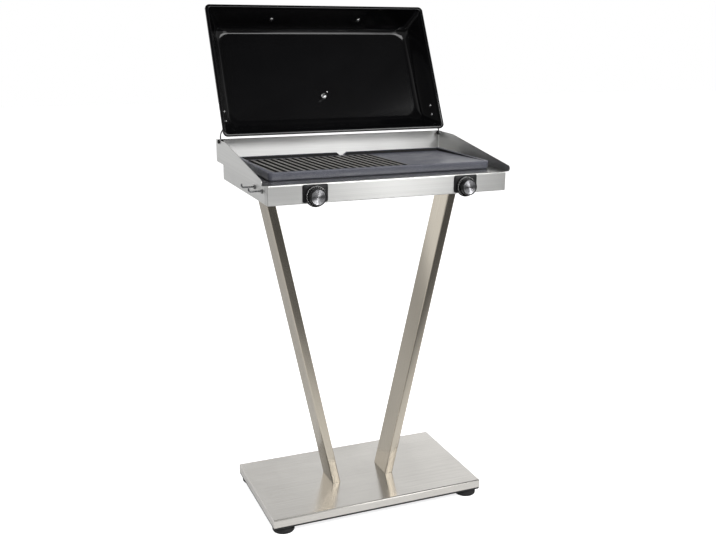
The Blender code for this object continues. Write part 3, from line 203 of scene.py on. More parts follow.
# These are all one stainless steel. Their base colours are painted light and shade: the casing and side
# shields are painted lighter, the legs darker and warmer.
STEEL_BASE = brushed_steel("base", 0, 0.20)
STEEL_SHEET = brushed_steel("sheet", 0, 0.32, 0.90, "#D8D8D6")
STEEL_CASING_PAINTED_LIGHTER = brushed_steel("casing", 0, 0.32, 0.90, "#E8E8E6")
STEEL_SIDE_PAINTED_LIGHTER = brushed_steel("side", 0, 0.34, 0.90, "#E9E9E7")
STEEL_SHIELD = brushed_steel("shield", 0, 0.52, 0.85, "#DCDCDB")
STEEL_TRAY = brushed_steel("tray", 0, 0.17, 0.85, "#D8D8D6")
STEEL_LEG_PAINTED_DARKER = brushed_steel("leg", 2, 0.24, 0.8, "#CEC6B8")


# %% [markdown]
# ## Black vitreous enamel
# The lid is pressed steel under gloss black enamel, a glass coat fired at about 800 degrees.
# It is nearly mirror smooth, with a faint long-wave ripple that the trade calls orange peel.


# %% Black enamel
def enamel():
    """Gloss black enamel: a nearly black glass with a ripple about 6 mm long."""
    made, tree, shader, place = material("black_vitreous_enamel", Roughness=0.11, IOR=1.5,
                                         Specular_IOR_Level=0.3)
    cloud = node(tree, "TexNoise", Vector=place, Scale=12.0, Detail=2.0)
    tone = node(tree, "ValToRGB", stops={0.3: linear("#050506"), 0.7: linear("#070708")}, s0=cloud)
    peel = node(tree, "TexNoise", Vector=place, Scale=160.0, Detail=1.0)
    bump = node(tree, "Bump", Height=peel, Strength=0.06, Distance=0.0002)
    plug(tree, shader, Base_Color=tone, Normal=bump)
    return made


ENAMEL = enamel()


# %% [markdown]
# ## Coated cast aluminium
# The grill plate is cast aluminium under a sprayed grey non-stick coat, so it has a fine grit
# of about 1 mm and tiny pale flecks. Rib tops get a paler painted sheen, and grooves and the rim's
# inner wall get near-black painted shade. The mesh carries two attributes that the colour follows:
# how deep a point lies in a groove or under the rim, for the shade, and whether it is on a rib top.


# %% Coated cast plate
def cast_coat():
    """Non-stick coat on a casting: fine grit in the bump, flecks in the colour, painted shade in the depths.
    """
    made, tree, shader, place = material("cast_aluminium_nonstick_coat", Roughness=0.36, IOR=1.5)
    flecks = node(tree, "TexNoise", Vector=place, Scale=1400.0, Detail=2.0)
    cloud = node(tree, "TexNoise", Vector=place, Scale=25.0, Detail=3.0)
    mixed = node(tree, "Math", "MULTIPLY_ADD", s0=cloud, s1=0.12, s2=flecks)
    tones = {0.34: linear("#393A41"), 0.58: linear("#464750"), 0.80: linear("#787A85")}
    rubbed = node(tree, "ValToRGB", stops=tones, s0=mixed)
    # Painted shade: near black for the grooves and the rim's inner wall, where shade falls.
    painted_groove_shade = node(tree, "ValToRGB", stops={0.34: linear("#080809"), 0.80: linear("#141415")}, s0=mixed)
    # Painted sheen: a paler warm grey on the rib tops, where they catch the light.
    painted_rib_sheen = node(tree, "ValToRGB", stops={0.34: linear("#4E4C49"), 0.80: linear("#7A7773")}, s0=mixed)
    # The depth attribute says where the shade is painted, from none on open surface to full in a groove.
    depth = node(tree, "Attribute", {"attribute_name": "depth"}).outputs["Fac"]
    deep = node(tree, "MapRange", Value=depth, From_Min=0.03, From_Max=0.35)
    rib = node(tree, "Attribute", {"attribute_name": "rib"}).outputs["Fac"]
    tops = node(tree, "Mix", {"data_type": "RGBA"}, s0=rib, s6=rubbed, s7=painted_rib_sheen).outputs[2]
    tone = node(tree, "Mix", {"data_type": "RGBA"}, s0=deep, s6=tops, s7=painted_groove_shade).outputs[2]
    rough = node(tree, "MapRange", Value=cloud, From_Min=0.3, From_Max=0.7, To_Min=0.32, To_Max=0.44)
    dull = node(tree, "Math", "MULTIPLY_ADD", s0=deep, s1=0.45, s2=rough)
    grit = node(tree, "TexNoise", Vector=place, Scale=900.0, Detail=2.0)
    bump = node(tree, "Bump", Height=grit, Strength=0.25, Distance=0.00012)
    plug(tree, shader, Base_Color=tone, Roughness=dull, Normal=bump)
    return made


CAST_COAT = cast_coat()


# %% [markdown]
# ## Moulded plastic, rubber, plated and turned metal
# The smaller finishes differ in base colour, in how rough they are and in the pattern that
# their making leaves: moulding texture on plastic and rubber, and rings on turned metal.


# %% Small finishes
def moulded(name, colour, rough, grain_scale, depth):
    """A moulded plastic or rubber with a fine even grain. grain_scale is in grains per metre."""
    made, tree, shader, place = material(name, Roughness=rough, IOR=1.49)
    grain = node(tree, "TexNoise", Vector=place, Scale=grain_scale, Detail=2.0)
    tone = node(tree, "ValToRGB", stops={0.35: linear(colour), 0.75: linear(colour, 1.35)}, s0=grain)
    spread = node(tree, "MapRange", Value=grain, To_Min=rough - 0.05, To_Max=rough + 0.05)
    bump = node(tree, "Bump", Height=grain, Strength=0.3, Distance=depth)
    plug(tree, shader, Base_Color=tone, Roughness=spread, Normal=bump)
    return made


def metal(name, colour, rough, cloud_scale=60.0):
    """A bare or plated metal with soft patches in its polish."""
    made, tree, shader, place = material(name, Metallic=1.0, Roughness=rough)
    cloud = node(tree, "TexNoise", Vector=place, Scale=cloud_scale, Detail=3.0)
    tone = node(tree, "ValToRGB", stops={0.3: linear(colour, 0.85), 0.7: linear(colour)}, s0=cloud)
    spread = node(tree, "MapRange", Value=cloud, From_Min=0.3, From_Max=0.7, To_Min=rough * 0.8,
                  To_Max=rough * 1.25)
    plug(tree, shader, Base_Color=tone, Roughness=spread)
    return made


BLACK_PLASTIC = moulded("moulded_phenolic_black", "#131314", 0.33, 1500.0, 0.00004)
BLACK_RUBBER = moulded("moulded_rubber_black", "#141414", 0.70, 900.0, 0.00008)
SATIN_BLACK = moulded("satin_black_paint", "#101011", 0.45, 700.0, 0.00003)
PLATED = metal("nickel_plated_steel", "#C4C4C4", 0.18)
ZINC = metal("galvanised_zinc_grey", "#8E9092", 0.45, 25.0)


# %% [markdown]
# ## Surfaces from grids of points
# Most pieces are sections carried along or around something: a wire along its path, a knob
# around its axis, the lid's outline from its rim to its floor. Each is a grid of points, rows
# by columns, that becomes a mesh. A round piece closes its columns. Doubled points at a
# pole are merged, and all faces are turned outwards.


# %% Grid helpers
def add_object(name, data):
    """A new object in the scene, made of a mesh, a lamp or a camera."""
    made = bpy.data.objects.new(name, data)
    bpy.context.scene.collection.objects.link(made)
    return made


def add_piece(name, data, finish, body, stands_for=(), crease=40.0):
    """A smooth mesh as a piece in one finish, with edges above crease degrees kept sharp.

    It rides on a CAD body and stands for the CAD nodes named.
    """
    data.shade_smooth()
    data.set_sharp_from_angle(angle=math.radians(crease))
    made = add_object(name, data)
    paint(made, finish)
    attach(made, body)
    if stands_for:
        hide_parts(*stands_for)
    print(name, "has", len(data.polygons), "faces")


def merge(data, within, outwards=True):
    """Merges a mesh's points that lie within a distance of each other, and turns its faces outwards."""
    merged = bmesh.new()
    merged.from_mesh(data)
    bmesh.ops.remove_doubles(merged, verts=merged.verts, dist=within)
    if outwards:
        bmesh.ops.recalc_face_normals(merged, faces=merged.faces)
    merged.to_mesh(data)
    merged.free()


def quads(*corners):
    """Four-sided faces from four arrays of point numbers, one for each corner."""
    return np.stack(corners, axis=-1).reshape(-1, 4)


def grid_mesh(name, grid, ring=False):
    """A closed mesh over a grid whose columns close on themselves.

    With ring the last row also joins the first one, otherwise both end rows are filled.
    """
    grid = np.asarray(grid, float)
    rows, columns = grid.shape[:2]
    index = np.arange(rows * columns).reshape(rows, columns)
    below = index if ring else index[:-1]
    above = np.roll(index, -1, axis=0) if ring else index[1:]
    faces = quads(below, np.roll(below, -1, axis=1), np.roll(above, -1, axis=1), above).tolist()
    if not ring:
        faces += [index[0][::-1].tolist(), index[-1].tolist()]
    data = bpy.data.meshes.new(name)
    data.from_pydata(grid.reshape(-1, 3).tolist(), [], faces)
    merge(data, 1e-6)
    return data


def skin(name, grid, finish, body, stands_for=(), ring=False, crease=40.0):
    """A grid's mesh as a piece."""
    add_piece(name, grid_mesh(name, grid, ring), finish, body, stands_for, crease)


def unit(vector):
    """A vector at length 1."""
    vector = np.asarray(vector, float)
    return vector / np.linalg.norm(vector)


def square_to(axis):
    """Two unit vectors that are square to an axis and to each other."""
    axis = unit(axis)
    helper = np.array([0.0, 0.0, 1.0]) if abs(axis[2]) < 0.9 else np.array([1.0, 0.0, 0.0])
    first = unit(np.cross(helper, axis))
    return first, np.cross(axis, first)


def circle(first, second, sides):
    """Directions round an axis: first times cos u plus second times sin u."""
    angle = np.linspace(0, 2 * math.pi, sides, endpoint=False)[:, None]
    return np.cos(angle) * first + np.sin(angle) * second


def lathe(profile, centre, axis, sides=64):
    """Turns (radius, height) points round an axis: centre plus height times axis plus radius times circle."""
    radius, height = np.array(profile, float).T[:, :, None, None]
    return np.asarray(centre) + height * unit(axis) + radius * circle(*square_to(axis), sides)


def arc_point(start, corner, end, t):
    """A quadratic arc: (1 - t) squared start, plus 2 t (1 - t) corner, plus t squared end."""
    return (1 - t) ** 2 * start + 2 * t * (1 - t) * corner + t ** 2 * end


def bend_path(corners, radius, steps=8):
    """A path through corners, each inner one rounded by an arc that starts and ends radius away."""
    corners = [np.asarray(corner, float) for corner in corners]
    path = [corners[0]]
    for before, corner, after in zip(corners, corners[1:], corners[2:]):
        start = corner + unit(before - corner) * radius
        end = corner + unit(after - corner) * radius
        path += [arc_point(start, corner, end, t) for t in np.linspace(0, 1, steps)]
    return np.array(path + [corners[-1]])


DOME_SHARE = 0.6


def tube(path, radius, sides=20, domed=True):
    """A round section carried along a path without twist. Domed ends shrink as a quarter circle does."""
    path = np.asarray(path, float)
    tangents = np.gradient(path, axis=0)
    tangents /= np.linalg.norm(tangents, axis=1)[:, None]
    first, _ = square_to(tangents[0])
    rings = []
    for place, tangent in zip(path, tangents):
        first = unit(first - tangent * first.dot(tangent))
        rings.append(place + radius * circle(first, np.cross(tangent, first), sides))
    if not domed:
        return np.array(rings)

    def dome(end, outward):
        reach = radius * DOME_SHARE * outward
        return [path[end] + reach * math.sin(t) + (rings[end] - path[end]) * math.cos(t)
                for t in np.linspace(0, math.pi / 2, 5)[1:]]

    return np.array(dome(0, -tangents[0])[::-1] + rings + dome(-1, tangents[-1]))


def outline(low_corner, high_corner, radius, along=(1, 1), steps=8):
    """Points on a rectangle with round corners. along gives the spans of a straight part in x and in y."""
    (x0, y0), (x1, y1) = low_corner, high_corner
    quarter = np.linspace(0, math.pi / 2, steps + 1)
    corners = ((x1 - radius, y0 + radius, -math.pi / 2), (x1 - radius, y1 - radius, 0.0),
               (x0 + radius, y1 - radius, math.pi / 2), (x0 + radius, y0 + radius, math.pi))
    arcs = [np.stack([x + radius * np.cos(start + quarter), y + radius * np.sin(start + quarter)], axis=1)
            for x, y, start in corners]
    points = []
    for order, arc in enumerate(arcs):
        spans = along[1] if order % 2 == 0 else along[0]
        following = arcs[(order + 1) % 4][0]
        share = np.linspace(0, 1, spans, endpoint=False)[1:, None]
        points += [arc, arc[-1] + (following - arc[-1]) * share]
    return np.concatenate(points)


def smooth(value):
    """Goes from 0 to 1 as value does, level at both ends: 3 v squared less 2 v cubed."""
    value = np.clip(value, 0.0, 1.0)
    return value * value * (3 - 2 * value)


# %% [markdown]
# ## The lid
# The lid is one deep-drawn sheet: a rolled hem, a flat rim, a steep wall and a soft round turn
# into the floor. It could be a box with a bevel, but each side's wall leans by its own amount
# and the corners open towards the floor, so a section is carried round instead. At share r of
# the wall's run the outline stands in by r times that side's run, and the corner radius grows.

# %% Lid directions
LEAN = math.radians(26.6)
DEEP = np.array([0.0, math.cos(LEAN), -math.sin(LEAN)])
UPWARD = np.array([0.0, math.sin(LEAN), math.cos(LEAN)])
ACROSS = np.array([1.0, 0.0, 0.0])
AXIS_BEHIND_RIM = 0.0371
AXIS_BELOW_RIM = 0.0008
LID_START = LID_AXIS - AXIS_BEHIND_RIM * DEEP + AXIS_BELOW_RIM * UPWARD
LID_HALF = float(high("lid_pan")[0] - low("lid_pan")[0]) / 2
LID_TALL = 0.3555
LID_DEPTH = 0.072
LID_SHEET = 0.0012
RIM_WIDE = 0.0080
RUN_SIDE = 0.042
RUN_TOP = 0.047
RUN_LOW = 0.067
WALL_SHARE = 0.62
TURN_STARTS = 0.72
TURN_ENDS = 0.86
HEM_EDGE = 0.0020
SEAT_GAP = 0.0003
SIDES = (("left", -1), ("right", 1))


def on_lid(across, deep, upward):
    """A world point: across from the lid's middle, deep from its rim and up from its lower edge."""
    across, deep, upward = np.broadcast_arrays(across, deep, upward)
    return LID_START + across[..., None] * ACROSS + deep[..., None] * DEEP + upward[..., None] * UPWARD


def lid_section():
    """The sheet's inner side as rows of (inset, run share, depth), from the hem over the rim to the floor."""
    rows = [(0.0, 0.0, 3 * HEM_EDGE), (0.0, 0.0, 2 * HEM_EDGE)]
    quarter = np.linspace(0, math.pi / 2, 5)
    rows += [(HEM_EDGE * (1 - math.cos(t)), 0.0, HEM_EDGE * (1 - math.sin(t))) for t in quarter]
    rows += [(RIM_WIDE - HEM_EDGE * (1 - math.sin(t)), 0.0, HEM_EDGE * (1 - math.cos(t))) for t in quarter]
    for t in np.linspace(0, 1, 6)[1:-1]:
        rows.append((RIM_WIDE, WALL_SHARE * TURN_STARTS * t, LID_DEPTH * TURN_STARTS * t))
    for t in np.linspace(0, 1, 14):
        run = arc_point(WALL_SHARE * TURN_STARTS, WALL_SHARE, TURN_ENDS, t)
        rows.append((RIM_WIDE, run, arc_point(TURN_STARTS, 1.0, 1.0, t) * LID_DEPTH))
    return np.array(rows)


def lid_rings(rows):
    """The lid's outline at each row of a section, in world points."""
    rings = []
    for inset, run, depth in rows:
        low_corner = (-LID_HALF + inset + run * RUN_SIDE, inset + run * RUN_LOW)
        high_corner = (LID_HALF - inset - run * RUN_SIDE, LID_TALL - inset - run * RUN_TOP)
        corner = 0.012 - inset / 2 + run * 0.030
        ring = outline(low_corner, high_corner, corner, along=(10, 6), steps=12)
        rings.append(on_lid(ring[:, 0], depth, ring[:, 1]))
    return np.array(rings)


def make_lid():
    """Both sides of the sheet. The outer side is the section moved back by the sheet along its normal."""
    inner = lid_section()
    travel = np.gradient(inner[:, 0] + inner[:, 1] * RUN_SIDE)
    sink = np.gradient(inner[:, 2])
    length = np.hypot(travel, sink)
    outer = inner.copy()
    outer[:, 0] -= LID_SHEET * sink / length
    outer[:, 0] = np.maximum(outer[:, 0], 0.0)
    outer[:, 2] += LID_SHEET * travel / length
    outer[:3, 0] = LID_SHEET
    rings = np.concatenate([lid_rings(inner)[::-1], lid_rings(outer)])
    skin("lid_shell", rings, ENAMEL, "lid", ("lid_pan",))


make_lid()
print("lid", low("lid_pan"), high("lid_pan"))

# %% [markdown]
# ## The handle and its screws
# A round bar with a bend at each end stands off the lid's front wall on two feet. The wall
# leans by its draft, so the handle is built square to the wall, not to the rim. Inside the lid
# a washer-headed screw shows for each foot, and two more hold each hinge bracket.


# %% Handle and lid screws
HANDLE_HALF = 0.124
HANDLE_DEEP = 0.036
HANDLE_FOOT = 0.0042
HANDLE_OUT = 0.032
HANDLE_BEND = 0.018
HANDLE_SCREW = 0.0042
SCREW_GAP = 0.0001
TOP_DRAFT = math.atan2(RUN_TOP * WALL_SHARE, LID_DEPTH)
SIDE_DRAFT = math.atan2(RUN_SIDE * WALL_SHARE, LID_DEPTH)
WALL_OUT = math.cos(TOP_DRAFT) * UPWARD + math.sin(TOP_DRAFT) * DEEP


def wall_point(across):
    """A point on the inner side of the lid's front wall, halfway down it."""
    stands_in = RIM_WIDE + RUN_TOP * WALL_SHARE * HANDLE_DEEP / LID_DEPTH
    return on_lid(across, HANDLE_DEEP, LID_TALL - stands_in)


def screw_head(name, place, axis, radius, body, finish):
    """A low domed screw head with a flat washer. A shallow cone stands for its cross recess."""
    profile = [(radius * 1.45, 0.0), (radius * 1.45, radius * 0.2), (radius, radius * 0.25)]
    dome = np.linspace(0.1, 1.15, 6)
    profile += [(radius * math.cos(t), radius * (0.25 + 0.5 * math.sin(t))) for t in dome]
    profile += [(radius * 0.3, radius * 0.74), (0.0, radius * 0.45)]
    skin(name, lathe([(0.0, 0.0)] + profile, place, axis, 24), finish, body)


def make_handle():
    """The bail, its two feet and the two screws inside the lid."""
    thick = LID_SHEET + SEAT_GAP
    bar = 0.0065
    profile = [(0.0, 0.0), (0.011, 0.0), (0.011, 0.0014), (0.0103, 0.0024), (0.0085, 0.0034), (bar, 0.0040),
               (0.0, 0.0040)]
    walls = [wall_point(sign * HANDLE_HALF) for _, sign in SIDES]
    for (side, _), wall in zip(SIDES, walls):
        socket = lathe(profile, wall + WALL_OUT * thick, WALL_OUT, 40)
        skin(f"handle_socket_{side}", socket, BLACK_PLASTIC, "lid", (f"handle_foot_{side}",))
        seat = wall - WALL_OUT * SCREW_GAP
        screw_head(f"handle_screw_{side}", seat, -WALL_OUT, HANDLE_SCREW, "lid", PLATED)
    ends = [wall + WALL_OUT * (thick + HANDLE_FOOT) for wall in walls]
    tops = [wall + WALL_OUT * (thick + HANDLE_OUT) for wall in walls]
    path = bend_path([ends[0], tops[0], tops[1], ends[1]], HANDLE_BEND, 10)
    skin("handle_bar", tube(path, bar, 28, domed=False), BLACK_PLASTIC, "lid", ("lid_handle",))


make_handle()


# %% [markdown]
# ## The thermometer
# The dial sits outside on the lid's back. It has a rolled steel bezel, a white face under flat
# glass, ticks at equal angles over three quarters of a turn, and a red pointer. Inside the lid
# show only its nut and the probe. The dial's marks are plain ticks, because none can be read.


# %% Thermometer
GAUGE_UP = 0.127
CARD_OUT = 0.0078
CARD_THICK = 0.0002
PANE_OUT = 0.0090
PRINT_BLACK = moulded("printed_black_ink", "#1A1A1A", 0.55, 2000.0, 0.00001)
PRINT_WHITE = moulded("printed_white_ink", "#E4E4E2", 0.50, 2000.0, 0.00001)
POINTER_RED = moulded("pointer_red_lacquer", "#A31C14", 0.40, 1500.0, 0.00001)


def clear_glass():
    """Clear flat glass with the faint waviness of a float pane."""
    made, tree, shader, place = material("clear_float_glass", Roughness=0.02, IOR=1.5,
                                         Transmission_Weight=1.0)
    wave = node(tree, "TexNoise", Vector=place, Scale=40.0)
    bump = node(tree, "Bump", Height=wave, Strength=0.02, Distance=0.0001)
    plug(tree, shader, Base_Color=linear("#F2F6F5"), Normal=bump)
    return made


GLASS = clear_glass()


def bar_between(start, end, wide, thick, axis):
    """A thin flat bar from start to end, its broad side facing along axis, as a grid of two loops."""
    along = unit(end - start)
    aside = np.cross(axis, along) * wide / 2
    rise = np.asarray(axis) * thick
    loop = [-aside, aside, aside + rise, -aside + rise]
    return np.array([[place + corner for corner in loop] for place in (start, end)])


def join_grids(name, grids, finish, body):
    """Several closed grids as one piece."""
    joined = bmesh.new()
    for grid in grids:
        part = grid_mesh("part", grid)
        joined.from_mesh(part)
        bpy.data.meshes.remove(part)
    data = bpy.data.meshes.new(name)
    joined.to_mesh(data)
    joined.free()
    add_piece(name, data, finish, body)


def dial_marks(name, centre, axis, up, reach, count, sweep, finish, body, wide=0.0008, lift=0.00008):
    """Ticks round a dial, thin bars between two radii, every second one short, joined into one piece."""
    inner, outer = reach
    aside = np.cross(up, axis)
    grids = []
    for number, angle in enumerate(np.linspace(-sweep / 2, sweep / 2, count)):
        outward = math.cos(angle) * up + math.sin(angle) * aside
        start = inner if number % 2 == 0 else inner + (outer - inner) * 0.4
        grids.append(bar_between(centre + outward * start, centre + outward * outer, wide, lift, axis))
    join_grids(name, grids, finish, body)


def make_gauge():
    """Case, dial face, ticks, pointer, glass, stem and nut, all on the lid's depth direction."""
    seat = on_lid(0.0, LID_DEPTH + LID_SHEET + SEAT_GAP, GAUGE_UP)
    case = [(0.0, 0.0), (0.009, 0.0), (0.009, 0.0036), (0.0262, 0.0036), (0.0270, 0.0046),
            (0.0270, 0.0096), (0.0266, 0.0106), (0.0258, 0.0110), (0.0250, 0.0105), (0.0248, 0.0098),
            (0.0248, CARD_OUT), (0.0, CARD_OUT)]
    skin("gauge_body", lathe(case, seat, DEEP, 72), PLATED, "lid", ("gauge_case",))
    face = seat + DEEP * CARD_OUT
    card = [(0.0, 0.0), (0.0246, 0.0), (0.0246, CARD_THICK), (0.0, CARD_THICK)]
    skin("gauge_face", lathe(card, face, DEEP, 64), PRINT_WHITE, "lid")
    marks = face + DEEP * CARD_THICK
    dial_marks("gauge_ticks", marks, DEEP, UPWARD, (0.0180, 0.0225), 25, math.radians(270), PRINT_BLACK,
               "lid")
    point = unit(-UPWARD * 0.8 - ACROSS * 0.6)
    tip = bar_between(marks - point * 0.005, marks + point * 0.017, 0.0012, 0.0003, DEEP)
    hub = lathe([(0.0, 0.0), (0.0022, 0.0), (0.0020, 0.0006), (0.0, 0.0008)], marks, DEEP, 24)
    join_grids("gauge_pointer", [tip, hub], POINTER_RED, "lid")
    pane = [(0.0, 0.0), (0.0247, 0.0), (0.0247, 0.0012), (0.0, 0.0012)]
    skin("gauge_pane", lathe(pane, seat + DEEP * PANE_OUT, DEEP, 64), GLASS, "lid", ("gauge_glass",))
    probe = [(0.0, -0.0003), (0.004, -0.0003), (0.004, -0.0076), (0.0036, -0.0082), (0.0022, -0.0084),
             (0.0022, -0.0342), (0.0016, -0.0353), (0.0, -0.0357)]
    skin("gauge_probe", lathe(probe, seat, DEEP, 32), PLATED, "lid", ("gauge_stem",))
    nut = [(0.0042, -0.0018), (0.0072, -0.0018), (0.0078, -0.0023), (0.0078, -0.0057), (0.0072, -0.0062),
           (0.0042, -0.0062)]
    skin("gauge_hex_nut", lathe(nut, seat, DEEP, 6), PLATED, "lid", ("gauge_nut",), ring=True, crease=20)


make_gauge()

# %% [markdown]
# ## Hinge wires and pins
# The lid hangs on two bent wires. Each ends in an eye round a fixed pin in the side shield and
# runs up the lid's side wall under a clamp with two screws. The wire could be a curve with a
# bevel, but the same tube function as the handle's keeps every bend under control.


# %% Hinge wires
WIRE_HALF = 0.0020
WIRE_EYE = 0.0044
SHIELD_SHEET = 0.0010
SHIELD_INNER = float(high("side_shield_right")[0] - low("side_shield_left")[0]) / 2 - SHIELD_SHEET
WASHER = 0.0012
WIRE_OUT = SHIELD_INNER - WASHER - 2 * SEAT_GAP - WIRE_HALF
WIRE_DEEP = 0.026
WIRE_LEAVES = 0.018
WIRE_MEETS = 0.036
WIRE_ENDS = 0.080
WIRE_BEND = 0.006
CLAMP_SCREW = 0.0033
CLAMP_SCREWS_UP = (0.049, 0.075)
PIN = [(0.0, 0.0040), (0.0030, 0.0038), (0.0046, 0.0030), (0.0052, 0.0016), (0.0052, 0.0), (0.0020, 0.0),
       (0.0020, -0.0074), (0.0052, -0.0074), (0.0052, -0.0094), (0.0044, -0.0108), (0.0, -0.0113)]


def make_hinges():
    """For each side an eye of 300 degrees, a rise, a run along the lid's wall, two screws and the pin."""
    wall = LID_HALF - RIM_WIDE - RUN_SIDE * WALL_SHARE * WIRE_DEEP / LID_DEPTH
    run = wall + (LID_SHEET + SEAT_GAP + WIRE_HALF) / math.cos(SIDE_DRAFT)
    angle = np.radians(np.linspace(-245, 55, 36))
    for side, sign in SIDES:
        eye = on_lid(sign * WIRE_OUT, AXIS_BEHIND_RIM + WIRE_EYE * np.cos(angle),
                     WIRE_EYE * np.sin(angle) - AXIS_BELOW_RIM)
        corners = [eye[-1], on_lid(sign * WIRE_OUT, (WIRE_DEEP + AXIS_BEHIND_RIM) / 2, WIRE_LEAVES),
                   on_lid(sign * run, WIRE_DEEP, WIRE_MEETS), on_lid(sign * run, WIRE_DEEP, WIRE_ENDS)]
        path = np.concatenate([eye[:-1], bend_path(corners, WIRE_BEND, 6)])
        skin(f"lid_wire_{side}", tube(path, WIRE_HALF, 16), PLATED, "lid", (f"hinge_wire_{side}",))
        inward = -sign * math.cos(SIDE_DRAFT) * ACROSS - math.sin(SIDE_DRAFT) * DEEP
        for number, upward in enumerate(CLAMP_SCREWS_UP):
            seat = on_lid(sign * wall, WIRE_DEEP, upward) + inward * SCREW_GAP
            screw_head(f"clamp_screw_{side}_{number}", seat, inward, CLAMP_SCREW, "lid", PLATED)
        out = sign * ACROSS
        pin = lathe(PIN, LID_AXIS + out * (SHIELD_INNER + SHIELD_SHEET + SEAT_GAP), out, 32)
        skin(f"pivot_pin_{side}", pin, SATIN_BLACK, "stand", (f"hinge_pin_{side}",))


make_hinges()

# %% [markdown]
# ## Hooks on the left side
# Two wire hooks stand out of small plates on the casing's left wall, for tongs and a brush.


# %% Hooks
HOOK_BEND = 0.005
HOOK_STEEL = metal("hook_wire_steel", "#9A9B9D", 0.25)


def make_hooks():
    """A wire out of each plate, bent up at its tip."""
    for name in ("front", "rear"):
        box_low, box_high = low(f"hook_{name}"), high(f"hook_{name}")
        middle_y = (box_low[1] + box_high[1]) / 2
        line_z = box_low[2] + WIRE_HALF
        tip_x = box_low[0] + WIRE_HALF
        corners = [(box_high[0], middle_y, line_z), (tip_x, middle_y, line_z),
                   (tip_x, middle_y, box_high[2] - WIRE_HALF * DOME_SHARE)]
        path = bend_path(corners, HOOK_BEND)
        straight = path[0] + (path[1] - path[0]) * np.linspace(0.02, 0.9, 5)[:, None]
        path = np.concatenate([straight, path[1:]])
        skin(f"tool_hook_{name}", tube(path, WIRE_HALF, 16), HOOK_STEEL, "stand", (f"hook_{name}",))


make_hooks()

# %% [markdown]
# ## Knobs
# Each control is a black moulded knob: a wide skirt, a tall body, and a turned aluminium disc
# let into its face. A lathe leaves fine rings, which pull a highlight into a bow tie. The
# skirt carries a ring of printed ticks, the disc an index line, and the bezel plate is moulded.


# %% Turned metal
def turned_aluminium(name, middle):
    """Lathe-turned aluminium. The highlight stretches along the radius, square to the rings."""
    made, tree, shader, place = material(name, Metallic=1.0, Roughness=0.25, Anisotropic=1.0)
    offset = node(tree, "VectorMath", "SUBTRACT", s0=place, s1=tuple(middle))
    flat = node(tree, "VectorMath", "MULTIPLY", s0=offset, s1=(1.0, 0.0, 1.0))
    spokes = node(tree, "VectorTransform", {"convert_from": "OBJECT", "convert_to": "WORLD"}, Vector=flat)
    radius = node(tree, "VectorMath", "LENGTH", s0=flat).outputs["Value"]
    rings = node(tree, "TexNoise", {"noise_dimensions": "1D"}, W=radius, Scale=2200.0, Detail=2.0)
    tone = node(tree, "ValToRGB", stops={0.3: linear("#C2C2C6"), 0.7: linear("#F0F0F3")}, s0=rings)
    bump = node(tree, "Bump", Height=rings, Strength=0.15, Distance=0.00004)
    plug(tree, shader, Tangent=spokes, Base_Color=tone, Normal=bump)
    return made


TOWARDS_US = np.array([0.0, -1.0, 0.0])
TICKS_OUT = 0.00615
INDEX_OUT = 0.0207


def make_knob(side):
    """Skirt and body, turned disc, ticks and index of one control."""
    seat = np.array(JOINTS[f"knob_turn_{side}"]["pos_m"])
    body = f"knob_unit_{side}"
    skirt = [(0.0032, 0.0003), (0.0240, 0.0003), (0.0250, 0.0013), (0.0250, 0.0044), (0.0247, 0.0055),
             (0.0240, 0.0061), (0.0226, 0.0063), (0.0206, 0.0060), (0.0199, 0.0062), (0.0180, 0.0064),
             (0.0180, 0.0153), (0.0, 0.0153), (0.0, 0.0123), (0.0032, 0.0123)]
    cup = [(0.0185, 0.0066), (0.0195, 0.0066), (0.0195, 0.0196), (0.0193, 0.0207), (0.0187, 0.0214),
           (0.0180, 0.0216), (0.0174, 0.0215), (0.0172, 0.0209), (0.0171, 0.0200), (0.0, 0.0200),
           (0.0, 0.0156), (0.0185, 0.0156)]
    for part, profile, stands_for in (("skirt", skirt, f"knob_{side}"), ("body", cup, f"knob_cap_{side}")):
        turned = lathe(profile, seat, TOWARDS_US, 96)
        skin(f"knob_{part}_{side}", turned, KNOB_GLOSS, body, (stands_for,), ring=True)
    disc = [(0.0, 0.0201), (0.0169, 0.0201), (0.0169, 0.0206), (0.0166, 0.0209), (0.0120, 0.0205),
            (0.0, 0.0204)]
    face = turned_aluminium(f"turned_aluminium_{side}", seat)
    skin(f"knob_disc_{side}", lathe(disc, seat, TOWARDS_US, 96), face, body)
    up = np.array([0.0, 0.0, 1.0])
    dial_marks(f"knob_ticks_{side}", seat + TOWARDS_US * TICKS_OUT, TOWARDS_US, up, (0.0210, 0.0232), 41,
               math.radians(300), PRINT_WHITE, body, wide=0.0006, lift=0.00022)
    on_disc = seat + TOWARDS_US * INDEX_OUT
    index = bar_between(on_disc + up * 0.0100, on_disc + up * 0.0160, 0.0012, 0.0003, TOWARDS_US)
    skin(f"knob_index_{side}", index, PRINT_BLACK, body)


def make_bezel(side):
    """A moulded plate with rounded edges round the shaft's hole. Outline and hole share their angles."""
    node_name = f"bezel_{side}"
    box_low, box_high = low(node_name), high(node_name)
    seat = np.array(JOINTS[f"knob_turn_{side}"]["pos_m"])
    rows = []
    for inset, share in ((0.0004, 0.0), (0.0, 0.2), (0.0, 0.6), (0.0003, 0.88), (0.0010, 1.0)):
        rows.append((outline(box_low[::2] + inset, box_high[::2] - inset, BEZEL_CORNER - inset), share))
    angle = np.arctan2(rows[0][0][:, 1] - seat[2], rows[0][0][:, 0] - seat[0])
    hole = seat[::2] + BEZEL_HOLE * np.stack([np.cos(angle), np.sin(angle)], axis=1)
    rows += [(hole, 1.0), (hole, 0.0)]
    thick = box_high[1] - box_low[1]
    grid = [np.stack([edge[:, 0], np.full(len(edge), box_high[1] - share * thick), edge[:, 1]], axis=1)
            for edge, share in rows]
    skin(f"bezel_plate_{side}", grid, BLACK_PLASTIC, "stand", (node_name,), ring=True)


